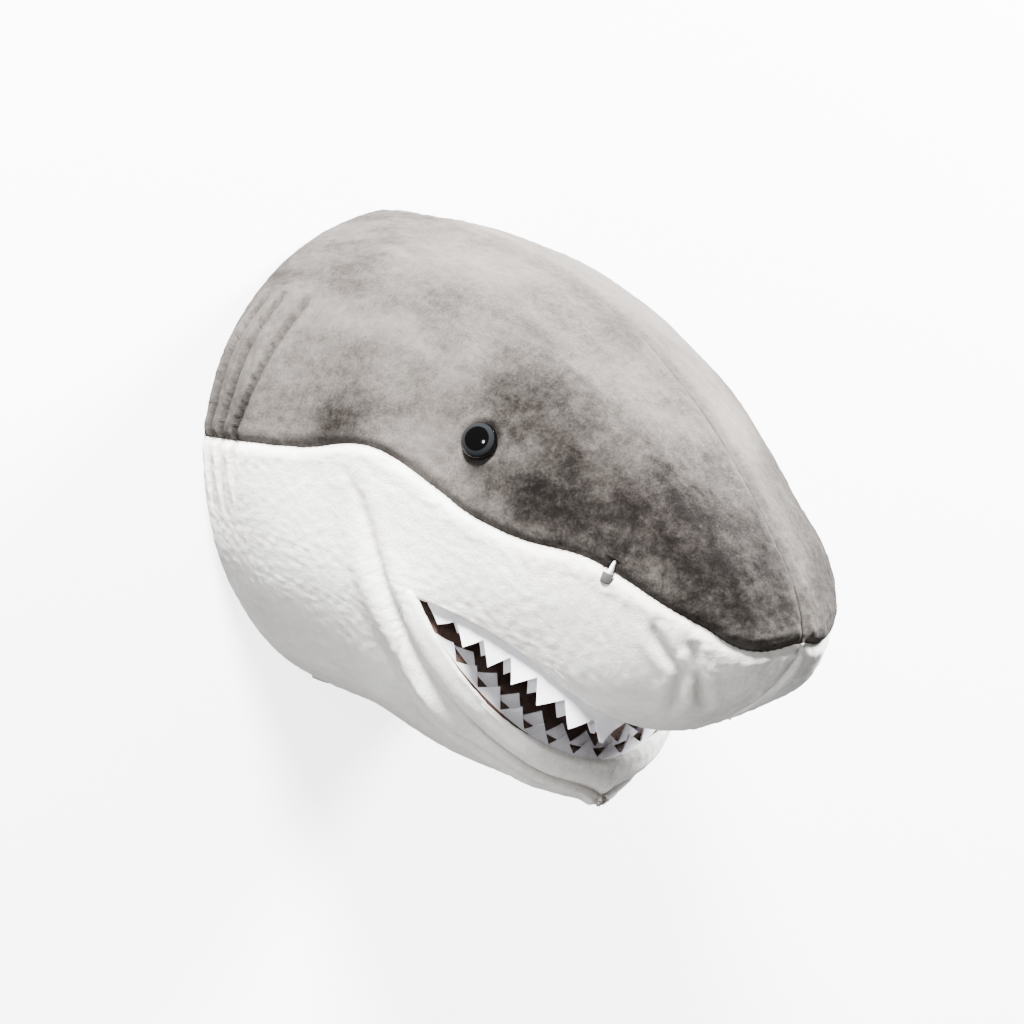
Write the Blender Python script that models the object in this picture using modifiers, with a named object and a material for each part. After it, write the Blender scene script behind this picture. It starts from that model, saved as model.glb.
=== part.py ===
"""Wall-mounted plush shark head, modelled as its separate sewn, stuffed and fitted pieces.

Units are metres in Blender; the driving dimensions below are in millimetres and MM turns
them into metres. The wall is the plane y = 0 and the snout points along -Y. +Z is up and
+X is the shark's left side. The origin is the middle of the back felt's wall face.

The head's skin is one formula. A spine curve leaves the wall and droops towards the nose.
Section planes stand square on it, and each section is an upper arch above the spine and a
lower arch below it. The place on a section is q: 0 at the crown, 1 at the side, 2 at the
bottom. Every panel, lining and stuffing is a piece of that formula at its own depth.
"""
import bmesh
import bpy
import numpy as np
from mathutils import Matrix, Vector

MM = 0.001

# Spine of the head, a quadratic Bezier: distance out from the wall and height.
SPINE_OUT = (0.0, 147.0, 357.0)
SPINE_UP = (0.0, 0.0, -92.0)
# Cubic Bezier ordinates along the spine, wall to nose.
CROWN_HEIGHT = (150.0, 149.0, 128.0, 46.0)
HALF_WIDTH = (148.0, 179.0, 90.0, 98.0)
RIDGE = (0.54, 0.0, 0.90)
NOSE_BLUNTNESS = 6.6
# Last station of the skin, just short of the nose's pole.
NOSE_STATION = 0.99998
CROWN_FULLNESS = 0.72
# Rough length of the spine, used as the Newton slope that finds a station.
SPINE_LENGTH = 400.0
# Depth below the spine: the neck down to the jaw, then the snout from the mouth corner.
NECK_STATIONS = (0.0, 0.25, 0.53, 0.76)
NECK_DEPTH = (155.0, 160.0, 170.0, 166.0)
SNOUT_DEPTH = (71.0, 137.0, 100.0)
SQUARENESS_STATIONS = (0.0, 0.30, 0.53, 0.75, 1.0)
SQUARENESS = (2.0, 2.2, 2.6, 3.3, 3.3)

# Mouth: corner and front of the upper lip along the spine, and the lower lip's bow.
MOUTH_CORNER = 0.53
UPPER_LIP_FRONT = 0.868
CORNER_PLACE = 1.166
LOWER_LIP_HALF_WIDTH = 126.0
LOWER_LIP_OUT = (163.0, 210.0)
LOWER_LIP_UP = (-69.0, -181.0)
LIP_BAND_WIDTH = (17.0, 36.0)
# Girth of the jaw below the lip: at the chin, and what its sides add.
JAW_GIRTH = (26.0, 154.0)
CHIN_STITCH = 0.10
PALATE_RISE = 24.0
FLOOR_DROP = 10.0
LINING_LIFT = 0.5

# Seam between the grey crown and the white side, as places q along the spine.
SEAM_STATIONS = (0.0, 0.16, 0.29, 0.43, 0.54, 0.61, 0.70, 0.79, 0.86, 0.95, 1.0)
SEAM_PLACES = (0.925, 0.918, 0.893, 0.824, 0.875, 0.918, 0.918, 0.855, 0.875, 1.02, 1.20)

PLUSH = 3.0
LINING = 1.2
FELT = 1.2
GAP = 0.3
SEAM_GAP = 0.18
# Place q that a seam gap takes up on a section of about 130 mm radius.
PLACE_GAP = SEAM_GAP / 130.0 / (np.pi / 2)
BACK_FELT = 1.5
BOARD = 8.0
FLANGE = 20.0
FLANGE_BACK = BACK_FELT + GAP
BOARD_BACK = FLANGE_BACK + PLUSH + GAP
BOARD_FRONT = BOARD_BACK + BOARD
LIP_DEPTH = PLUSH + 0.4
FILL_DEPTH = PLUSH + 3.0

TOOTH_PITCH = 20.3
# Each way from the middle of the upper lip without teeth, and where the strip narrows to it.
BARE_FRONT = 48.0
BARE_BLEND = 4.0
BARE_SHRINK = 0.75
# The strips are lower at the mouth corners: the share left there, and how far they taper.
CORNER_SHARE = 0.40
CORNER_RUN = 48.0
# Points at which a lip is measured to space the teeth.
LIP_SAMPLES = 300
TEETH_ROWS = (
    # name, upper jaw, inward from the lip, plain band, phase in pitches, tooth height
    ("upper_teeth_outer", True, 2.0, 9.5, 0.0, 13.0),
    ("upper_teeth_inner", True, 10.0, 11.0, 0.5, 13.0),
    ("lower_teeth_outer", False, 3.0, 0.8, 0.0, 10.0),
    ("lower_teeth_inner", False, 10.0, 0.8, 0.5, 9.5),
)

EYE_STATION = 0.577
EYE_PLACE = 0.654
EYE_DIAMETER = 22.0
EYE_HEIGHT = 7.0
EYE_EDGE = 1.0
SHANK_DIAMETER = 5.0
SHANK_LENGTH = 13.0
WASHER_DIAMETER = 16.0
WASHER = 1.5
WASHER_LIFT = 0.8

NOSTRIL_STATION = 0.817
NOSTRIL_PLACE = 0.893
NOSTRIL_TAB = (7.0, 6.0, 1.2)

WINDOW = (40.0, 62.0)
WINDOW_MARGIN = 6.0
BACK_FELT_INSET = 4.0
RING_UP = 104.0
RING_WIRE = 2.0
RING_WIDTH = 24.0
RING_REACH = 20.0
STRAP = (12.0, 30.0, 0.8)
SCREW_HEAD = (6.0, 1.2)
SCREW_SHANK = (2.6, 9.0)
SCREW_TIP = 3.0
SCREW_DROPS = (7.5, 14.5)

COLOURS = {
    "grey_plush": ((0.25, 0.23, 0.22), 0.95, 0.0),
    "white_plush": ((0.87, 0.86, 0.84), 0.95, 0.0),
    "mouth_lining": ((0.05, 0.03, 0.025), 0.95, 0.0),
    "white_felt": ((0.85, 0.85, 0.88), 0.9, 0.0),
    "grey_felt": ((0.08, 0.08, 0.085), 0.9, 0.0),
    "fibre_fill": ((0.80, 0.80, 0.80), 1.0, 0.0),
    "eye_plastic": ((0.012, 0.012, 0.013), 0.08, 0.0),
    "washer_plastic": ((0.60, 0.60, 0.58), 0.45, 0.0),
    "fibreboard": ((0.42, 0.28, 0.17), 0.7, 0.0),
    "zinc_steel": ((0.60, 0.60, 0.62), 0.35, 1.0),
}


# ---------------------------------------------------------------- head formula

def bezier(ordinates, t):
    """Quadratic or cubic Bezier through its end ordinates."""
    t = np.asarray(t, float)
    if len(ordinates) == 3:
        weights = ((1 - t) ** 2, 2 * t * (1 - t), t ** 2)
    else:
        weights = ((1 - t) ** 3, 3 * t * (1 - t) ** 2, 3 * t ** 2 * (1 - t), t ** 3)
    return sum(w * o for w, o in zip(weights, ordinates))


def through(stations, values, t):
    """Smooth curve through a few stations: cubic Hermite pieces with mean slopes."""
    xs = np.asarray(stations, float)
    ys = np.asarray(values, float)
    slopes = np.gradient(ys, xs)
    t = np.clip(np.asarray(t, float), xs[0], xs[-1])
    i = np.clip(np.searchsorted(xs, t, side="right") - 1, 0, len(xs) - 2)
    h = xs[i + 1] - xs[i]
    s = (t - xs[i]) / h
    return ((2 * s ** 3 - 3 * s ** 2 + 1) * ys[i] + (s ** 3 - 2 * s ** 2 + s) * h * slopes[i]
            + (3 * s ** 2 - 2 * s ** 3) * ys[i + 1] + (s ** 3 - s ** 2) * h * slopes[i + 1])


def spine(t):
    """Point on the spine and the upward direction of the section plane there."""
    t = np.asarray(t, float)
    run_out = 2 * (1 - t) * SPINE_OUT[1] + 2 * t * (SPINE_OUT[2] - SPINE_OUT[1])
    run_up = 2 * (1 - t) * SPINE_UP[1] + 2 * t * (SPINE_UP[2] - SPINE_UP[1])
    length = np.hypot(run_out, run_up)
    return bezier(SPINE_OUT, t), bezier(SPINE_UP, t), -run_up / length, run_out / length


def place(t, x, n):
    """World point in metres of section t, x across and n above the spine."""
    out, up, lean_out, lean_up = spine(t)
    point = np.stack(np.broadcast_arrays(x, -(out + n * lean_out), up + n * lean_up), -1)
    return point * MM


def closing(t):
    """Factor that rounds the head shut at the nose."""
    return np.sqrt(np.clip(1 - np.asarray(t, float) ** NOSE_BLUNTNESS, 0, 1))


def half_width(t):
    return bezier(HALF_WIDTH, t) * closing(t)


def depth_below(t):
    """Depth of the lower arch: the neck's as far as the mouth corner, then the snout's."""
    t = np.asarray(t, float)
    s = np.clip((t - MOUTH_CORNER) / (1 - MOUTH_CORNER), 0, 1)
    start = through(NECK_STATIONS, NECK_DEPTH, MOUTH_CORNER) / closing(MOUTH_CORNER)
    snout = bezier((start, *SNOUT_DEPTH), s) * closing(t)
    return np.where(t <= MOUTH_CORNER, through(NECK_STATIONS, NECK_DEPTH, t), snout)


def upper_arch(t, q):
    angle = np.clip(q, 0, 1) * np.pi / 2
    ridge = bezier(RIDGE, t)
    x = half_width(t) * np.sin(angle) ** CROWN_FULLNESS
    n = (1 - ridge) * np.cos(angle) + ridge * (1 - 2 * angle / np.pi)
    return x, n * bezier(CROWN_HEIGHT, t) * closing(t)


def lower_arch(t, q, width, depth):
    dip = np.sin((np.clip(q, 1, 2) - 1) * np.pi / 2)
    x = width * np.sqrt(np.clip(1 - dip ** through(SQUARENESS_STATIONS, SQUARENESS, t), 0, 1))
    return x, -depth * dip


def skin(t, q):
    """Outer surface of the neck and the upper head."""
    upper_x, upper_n = upper_arch(t, q)
    lower_x, lower_n = lower_arch(t, q, half_width(t), depth_below(t))
    above = np.asarray(q) <= 1
    return place(t, np.where(above, upper_x, lower_x), np.where(above, upper_n, lower_n))


def lower_lip(bow):
    """Lower lip's outer edge: across, out and up, for bow 0 at one corner to pi at the other."""
    sweep = np.sin(bow)
    forward = np.sign(sweep) * np.abs(sweep) ** 1.3
    downward = np.sign(sweep) * np.abs(sweep) ** 1.35
    out = LOWER_LIP_OUT[0] + (LOWER_LIP_OUT[1] - LOWER_LIP_OUT[0]) * forward
    up = LOWER_LIP_UP[0] + (LOWER_LIP_UP[1] - LOWER_LIP_UP[0]) * downward
    return LOWER_LIP_HALF_WIDTH * np.cos(bow), out, up


def station_of(out, up):
    """Station whose section plane passes through a point, by Newton steps."""
    t = np.full(np.shape(out), 0.6)
    for _ in range(8):
        o, u, lean_out, lean_up = spine(t)
        miss = (out - o) * lean_up - (up - u) * lean_out
        t = t + miss / SPINE_LENGTH
    return t


def jaw(bow, r):
    """Outer surface of the lower jaw: r is 0 at the lip and 1 at the middle of the throat."""
    x, out, up = lower_lip(bow)
    t = station_of(out, up)
    o, u, lean_out, lean_up = spine(t)
    lip_depth = -((out - o) * lean_out + (up - u) * lean_up)
    depth = through(NECK_STATIONS, NECK_DEPTH, t)
    power = through(SQUARENESS_STATIONS, SQUARENESS, t)
    dip = np.clip(lip_depth / depth, 0, 0.999)
    width = x / np.sqrt(1 - dip ** power)
    lip_q = 1 + np.arcsin(dip) / (np.pi / 2)
    q = lip_q + (2 - lip_q) * r
    across, down = lower_arch(t, q, width, depth)
    return place(t, across, down)


def seam(t):
    return through(SEAM_STATIONS, SEAM_PLACES, t)


def upper_lip(t):
    s = np.clip((t - MOUTH_CORNER) / (UPPER_LIP_FRONT - MOUTH_CORNER), 0, 1)
    return CORNER_PLACE + 0.30 * s + (2 - CORNER_PLACE - 0.30) * s ** 6


def band_edge(bow):
    """Where the lip band's lower edge runs, as a share r of the way down the jaw."""
    wider = np.sin(2 * bow) ** 2
    return (LIP_BAND_WIDTH[0] + (LIP_BAND_WIDTH[1] - LIP_BAND_WIDTH[0]) * wider) / jaw_girth(bow)


def jaw_girth(bow):
    """Length in mm round the jaw from the lip down to the middle of the throat."""
    return JAW_GIRTH[0] + JAW_GIRTH[1] * np.abs(np.cos(bow))


def along(s):
    """Station for an even step s, so that steps shorten towards the rounded nose."""
    return np.sin(np.clip(s, 0, 1) * np.pi / 2)


def sink(surface, u, v, depth, step=1e-3):
    """Points of a surface moved inward by a depth, along its normal."""
    point = surface(u, v)
    along_u = surface(u + step, v) - surface(u - step, v)
    along_v = surface(u, v + step) - surface(u, v - step)
    normal = np.cross(along_u, along_v)
    normal /= np.maximum(np.linalg.norm(normal, axis=-1, keepdims=True), 1e-12)
    return point - normal * depth * MM


# ---------------------------------------------------------------- making objects

def clear_scene():
    for thing in list(bpy.data.objects):
        bpy.data.objects.remove(thing, do_unlink=True)
    for group in list(bpy.data.collections):
        bpy.data.collections.remove(group)


def new_collection(name):
    group = bpy.data.collections.new(name)
    bpy.context.scene.collection.children.link(group)
    return group


def material(name):
    existing = bpy.data.materials.get(name)
    if existing:
        return existing
    colour, roughness, metallic = COLOURS[name]
    made = bpy.data.materials.new(name)
    made.use_nodes = True
    shader = made.node_tree.nodes["Principled BSDF"]
    shader.inputs["Base Color"].default_value = (*colour, 1.0)
    shader.inputs["Roughness"].default_value = roughness
    shader.inputs["Metallic"].default_value = metallic
    made.diffuse_color = (*colour, 1.0)
    return made


def add_object(name, mesh, finish=None, group=None):
    thing = bpy.data.objects.new(name, mesh)
    (group or PARTS).objects.link(thing)
    if finish:
        mesh.materials.append(material(finish))
    return thing


def bmesh_object(name, bm, finish=None, group=None):
    mesh = bpy.data.meshes.new(name)
    bm.to_mesh(mesh)
    bm.free()
    mesh.shade_smooth()
    mesh.set_sharp_from_angle(angle=np.radians(40))
    return add_object(name, mesh, finish, group)


def add_grid(bm, points):
    """Quads over a grid of points; returns the rows of new vertices."""
    rows = [[bm.verts.new(tuple(p)) for p in row] for row in points]
    for a, b in zip(rows[:-1], rows[1:]):
        for i in range(len(a) - 1):
            bm.faces.new((a[i], a[i + 1], b[i + 1], b[i]))
    return rows


def shell(name, blocks, finish, side=0):
    """Closed sheet between outer and inner grids. Blocks that share an edge are welded.
    A side of +1 or -1 keeps the sheet on that side of the middle seam."""
    bm = bmesh.new()
    depth = bm.verts.layers.float_vector.new("inner")
    for outer, inner in blocks:
        if side:
            outer = outer * np.array([side, 1, 1])
            inner = inner * np.array([side, 1, 1])
            outer[..., 0] = side * np.maximum(side * outer[..., 0], SEAM_GAP * MM)
            inner[..., 0] = side * np.maximum(side * inner[..., 0], SEAM_GAP * MM)
        for row, inner_row in zip(add_grid(bm, outer), inner):
            for vertex, p in zip(row, inner_row):
                vertex[depth] = Vector(p)
    bmesh.ops.remove_doubles(bm, verts=bm.verts[:], dist=5e-6)
    raised = bmesh.ops.extrude_face_region(bm, geom=bm.faces[:], use_keep_orig=True)
    for item in raised["geom"]:
        if isinstance(item, bmesh.types.BMVert):
            item.co = item[depth]
    bmesh.ops.remove_doubles(bm, verts=bm.verts[:], dist=5e-6)
    bmesh.ops.recalc_face_normals(bm, faces=bm.faces[:])
    return bmesh_object(name, bm, finish)


def loft(name, loops, finish):
    """Closed body through a row of closed loops, with a flat cap at each end."""
    bm = bmesh.new()
    closed = np.concatenate([loops, loops[:, :1]], axis=1)
    rows = add_grid(bm, closed)
    bm.faces.new(rows[0][:-1])
    bm.faces.new(rows[-1][:-1])
    bmesh.ops.remove_doubles(bm, verts=bm.verts[:], dist=5e-6)
    bmesh.ops.dissolve_degenerate(bm, edges=bm.edges[:], dist=1e-6)
    bmesh.ops.triangulate(bm, faces=bm.faces[:])
    bmesh.ops.recalc_face_normals(bm, faces=bm.faces[:])
    return bmesh_object(name, bm, finish)


def plate(name, outline, front, back, finish, holes=()):
    """Flat sheet parallel to the wall, cut from an outline of (x, z) points in mm."""
    curve = bpy.data.curves.new(name, "CURVE")
    curve.dimensions = "2D"
    curve.fill_mode = "BOTH"
    curve.extrude = (front - back) / 2 * MM
    for loop in (outline, *holes):
        spline = curve.splines.new("POLY")
        spline.points.add(len(loop) - 1)
        for point, (x, z) in zip(spline.points, loop):
            point.co = (x * MM, z * MM, 0.0, 1.0)
        spline.use_cyclic_u = True
    guide = bpy.data.objects.new(name + "_outline", curve)
    PARTS.objects.link(guide)
    guide.matrix_world = Matrix.Translation((0, -(front + back) / 2 * MM, 0)) \
        @ Matrix.Rotation(np.pi / 2, 4, "X")
    return curve_to_mesh(guide, name, finish)


def curve_to_mesh(guide, name, finish):
    """Replace a curve object by its welded mesh, in the same place."""
    bpy.context.view_layer.update()
    evaluated = guide.evaluated_get(bpy.context.evaluated_depsgraph_get())
    mesh = bpy.data.meshes.new_from_object(evaluated)
    mesh.name = name
    mesh.materials.clear()
    bm = bmesh.new()
    bm.from_mesh(mesh)
    bmesh.ops.remove_doubles(bm, verts=bm.verts[:], dist=2e-6)
    bmesh.ops.recalc_face_normals(bm, faces=bm.faces[:])
    bm.to_mesh(mesh)
    bm.free()
    made = add_object(name, mesh, finish)
    made.matrix_world = guide.matrix_world
    bpy.data.objects.remove(guide, do_unlink=True)
    return made


def turned(name, profile, frame, finish, group=None, steps=32):
    """Solid of revolution about the local Z axis, from (radius, height) points in mm."""
    bm = bmesh.new()
    closed = profile[0] == profile[-1]
    verts = [bm.verts.new((r * MM, 0, h * MM)) for r, h in profile[:len(profile) - closed]]
    for a, b in zip(verts, verts[1:] + verts[:1] * closed):
        bm.edges.new((a, b))
    made = bmesh_object(name, bm, finish, group)
    made.matrix_world = frame
    spin = made.modifiers.new("turn", "SCREW")
    spin.steps = steps
    spin.render_steps = steps
    spin.use_merge_vertices = True
    spin.merge_threshold = 0.000001
    spin.use_smooth_shade = False
    return made


def cut(thing, cutter):
    hole = thing.modifiers.new("cut_" + cutter.name, "BOOLEAN")
    hole.operation = "DIFFERENCE"
    hole.object = cutter
    cutter.hide_render = True
    cutter.display_type = "WIRE"


def surface_frame(surface, u, v, side):
    """Matrix on the outer surface: local Z outwards, local Y up along the surface."""
    point = surface(np.array(u), np.array(v))
    normal = point - sink(surface, np.array(u), np.array(v), 1.0)
    mirror = np.array([side, 1, 1])
    outwards = Vector(normal * mirror).normalized()
    across = Vector((0, 0, 1)).cross(outwards).normalized()
    upwards = outwards.cross(across)
    turn = Matrix((across, upwards, outwards)).transposed().to_4x4()
    return Matrix.Translation(Vector(point * mirror)) @ turn


# ---------------------------------------------------------------- the pieces

def rim(inset, count=96):
    """Head outline at the wall as (x, z) in mm, moved inwards."""
    q = np.linspace(0, 2, count // 2 + 1)
    half = skin(np.zeros_like(q), q)[:, [0, 2]] / MM
    ring = np.concatenate([half, half[-2:0:-1] * np.array([-1, 1])])
    reach = np.linalg.norm(ring, axis=1, keepdims=True)
    return ring * (reach - inset) / reach


def rim_columns(q):
    """Outer and inner grids of the turned-over edge that lies behind the board."""
    edge = skin(np.zeros_like(q), q)[:, [0, 2]] / MM
    reach = np.linalg.norm(edge, axis=1, keepdims=True)

    def ring(inset, out):
        flat = edge * (reach - inset) / reach
        return np.stack([flat[:, 0], np.full(len(q), -out), flat[:, 1]], -1) * MM

    front = FLANGE_BACK + PLUSH
    outer = np.stack([ring(FLANGE, FLANGE_BACK), ring(0.0, FLANGE_BACK)])
    inner = np.stack([ring(FLANGE, front), ring(PLUSH, front)])
    return outer, inner


def panel_block(surface, u, v, depth=PLUSH):
    return surface(u, v), sink(surface, u, v, depth)


def head_columns(first, last, count):
    """Stations from wall to nose, close together where the surface curves most."""
    start = np.arcsin(first) / (np.pi / 2)
    stop = np.arcsin(last) / (np.pi / 2)
    return along(np.linspace(start, stop, count))


def blend_rows(low, high, count, spread=1.0):
    """Places between two edges at each station; a spread above 1 crowds the first edge."""
    share = np.linspace(0, 1, count) ** spread
    return low[:, None] + (high - low)[:, None] * share[None, :]


def neck_columns():
    return np.append(head_columns(0.03, MOUTH_CORNER, 11)[:-1], MOUTH_CORNER)


def snout_columns():
    return np.append(MOUTH_CORNER, head_columns(MOUTH_CORNER, NOSE_STATION, 18)[1:])


def crown_panel(side, name):
    t = np.append(neck_columns(), snout_columns()[1:])
    q = blend_rows(np.zeros_like(t), seam(t) - PLACE_GAP, 10, 1 / CROWN_FULLNESS)
    outer, inner = panel_block(skin, t[:, None] * np.ones_like(q), q)
    flange_outer, flange_inner = rim_columns(q[0])
    wrap = (np.stack([flange_outer[1], outer[0]]), np.stack([flange_inner[1], inner[0]]))
    return shell(name, [(flange_outer, flange_inner), wrap, (outer, inner)], "grey_plush", side)


def side_panel(side, name):
    """White side: neck, then the snout above the mouth and the throat below it."""
    neck_t = neck_columns()
    rows_above = 8
    rows_band = 3
    rows_below = 7
    band_q = float(jaw_place(0.0, band_edge(0.0)))
    top = seam(neck_t) + PLACE_GAP
    lip = np.full_like(neck_t, CORNER_PLACE)
    edge = np.full_like(neck_t, band_q)
    bottom = np.full_like(neck_t, 2.0)
    q = np.concatenate([blend_rows(top, lip, rows_above)[:, :-1],
                        blend_rows(lip, edge, rows_band)[:, :-1],
                        blend_rows(edge, bottom, rows_below)], axis=1)
    neck = panel_block(skin, neck_t[:, None] * np.ones_like(q), q)
    flange_outer, flange_inner = rim_columns(q[0])
    wrap = (np.stack([flange_outer[1], neck[0][0]]), np.stack([flange_inner[1], neck[1][0]]))

    snout_t = snout_columns()
    snout_q = blend_rows(seam(snout_t) + PLACE_GAP, upper_lip(snout_t), rows_above)
    snout = panel_block(skin, snout_t[:, None] * np.ones_like(snout_q), snout_q)
    snout = share_edge(snout, neck, slice(0, rows_above))

    bow = jaw_columns()[:-1]
    start = band_edge(bow) + np.where(bow > 0, 2 * SEAM_GAP / jaw_girth(bow), 0.0)
    r = blend_rows(start, np.ones_like(bow), rows_below)
    throat = panel_block(jaw, bow[:, None] * np.ones_like(r), r)
    throat = share_edge(throat, neck, slice(rows_above + rows_band - 2, None))
    return shell(name, [(flange_outer, flange_inner), wrap, neck, snout, throat],
                 "white_plush", side)


def share_edge(block, neck, rows):
    """Give a block's first column the neck's last column, so that they weld."""
    for grid, source in zip(block, neck):
        grid[0] = source[-1][rows]
    return block


def jaw_place(bow, r):
    """Place q on its section of a point on the jaw."""
    x, out, up = lower_lip(bow)
    t = station_of(out, up)
    o, u, lean_out, lean_up = spine(t)
    dip = -((out - o) * lean_out + (up - u) * lean_up) / through(NECK_STATIONS, NECK_DEPTH, t)
    lip_q = 1 + np.arcsin(dip) / (np.pi / 2)
    return lip_q + (2 - lip_q) * r


def jaw_columns():
    return np.append(np.linspace(0, np.pi / 2 - CHIN_STITCH, 14), np.pi / 2)


def lip_band(name):
    quarter = np.append(0.03, jaw_columns()[1:])
    bow = np.append(quarter, np.pi - quarter[-2::-1])
    r = blend_rows(np.zeros_like(bow), band_edge(bow) - 2 * SEAM_GAP / jaw_girth(bow), 4)
    return shell(name, [panel_block(jaw, bow[:, None] * np.ones_like(r), r)], "white_plush")


def square_to_lips(corner, front):
    """Unit vector, upright of the middle plane, square to the plane through a jaw's lips."""
    slope = (front - corner) * np.array([0, 1, 1])
    slope /= np.linalg.norm(slope)
    return np.array([0, slope[2], -slope[1]])


def palate(t, share, lift=0.0):
    """Mouth roof: straight from lip to lip, then bulged up off the plane of the lips."""
    edge = sink(skin, t, upper_lip(t), LIP_DEPTH)
    s = np.clip((t - MOUTH_CORNER) / (UPPER_LIP_FRONT - MOUTH_CORNER), 0, 1)
    rise = PALATE_RISE * 4 * s * (1 - s) * (1 - share ** 2) ** 2 + lift
    up = square_to_lips(skin(MOUTH_CORNER, CORNER_PLACE), skin(UPPER_LIP_FRONT, 2.0))
    straight = edge * np.stack([share, np.ones_like(share), np.ones_like(share)], -1)
    return straight + rise[..., None] * up * MM


def mouth_floor(bow, share, drop=0.0):
    """Mouth floor: straight from lip to lip, then dipped below the plane of the lips."""
    edge = sink(jaw, bow, np.full_like(bow, 0.01), LIP_DEPTH)
    dip = FLOOR_DROP * np.sin(2 * bow) * (1 - share ** 2) ** 2 + drop
    up = square_to_lips(jaw(0.0, 0.0), jaw(np.pi / 2, 0.0))
    straight = edge * np.stack([share, np.ones_like(share), np.ones_like(share)], -1)
    return straight - dip[..., None] * up * MM


def mouth_roof_lining(name):
    t = np.linspace(MOUTH_CORNER + 0.012, UPPER_LIP_FRONT - 0.026, 16)
    share = np.linspace(-0.92, 0.92, 11)
    tt, ss = np.meshgrid(t, share, indexing="ij")
    return shell(name, [(palate(tt, ss, LINING_LIFT), palate(tt, ss, LINING_LIFT + LINING))], "mouth_lining")


def mouth_floor_lining(name):
    bow = np.linspace(0.10, np.pi / 2 - 0.05, 14)
    share = np.linspace(-0.99, 0.99, 11)
    bb, ss = np.meshgrid(bow, share, indexing="ij")
    top = mouth_floor(bb, ss, LINING_LIFT)
    return shell(name, [(top, mouth_floor(bb, ss, LINING_LIFT + LINING))], "mouth_lining")


def ring_of(half):
    """Whole closed loop from its +X half, which starts and ends at the middle plane."""
    other = half[:, -2:0:-1] * np.array([-1, 1, 1])
    return np.concatenate([half, other], axis=1)


def neck_fill(name):
    t = head_columns(0.045, MOUTH_CORNER - 0.004, 10)
    q = np.append(np.linspace(0, 1, 13) ** (1 / CROWN_FULLNESS), np.linspace(1, 2, 13)[1:])
    tt, qq = np.meshgrid(t, q, indexing="ij")
    half = sink(skin, tt, qq, FILL_DEPTH)
    half[:, 0, 0] = 0
    half[:, -1, 0] = 0
    half[0, :, 1] = -(BOARD_FRONT + GAP) * MM
    return loft(name, ring_of(half), "fibre_fill")


def snout_fill(name):
    t = head_columns(MOUTH_CORNER + 0.004, 0.9995, 17)
    end = np.where(t < UPPER_LIP_FRONT, upper_lip(t) - 0.09, 2.0)
    q = blend_rows(np.zeros_like(t), end, 18, 1.2)
    arch = sink(skin, t[:, None] * np.ones_like(q), q, FILL_DEPTH)
    share = np.linspace(0.93, 0, 7)
    tt, ss = np.meshgrid(t, share, indexing="ij")
    roof = palate(tt, ss, LINING_LIFT + LINING + 1.3)
    roof[t > UPPER_LIP_FRONT] = arch[t > UPPER_LIP_FRONT, -1:]
    half = np.concatenate([arch[:, :-1], roof], axis=1)
    half[:, 0, 0] = 0
    half[:, -1, 0] = 0
    return loft(name, ring_of(half), "fibre_fill")


def jaw_fill(name):
    bow = np.linspace(0.12, np.pi / 2 - 0.25, 12)
    r = blend_rows(np.full_like(bow, 0.03), np.ones_like(bow), 10)
    arch = sink(jaw, bow[:, None] * np.ones_like(r), r, FILL_DEPTH)
    share = np.linspace(0, 0.97, 7)
    bb, ss = np.meshgrid(bow, share, indexing="ij")
    floor = mouth_floor(bb, ss, LINING_LIFT + LINING + 1.0)
    half = np.concatenate([floor, arch[:, 1:]], axis=1)
    half[:, 0, 0] = 0
    half[:, -1, 0] = 0
    return loft(name, ring_of(half), "fibre_fill")


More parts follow.
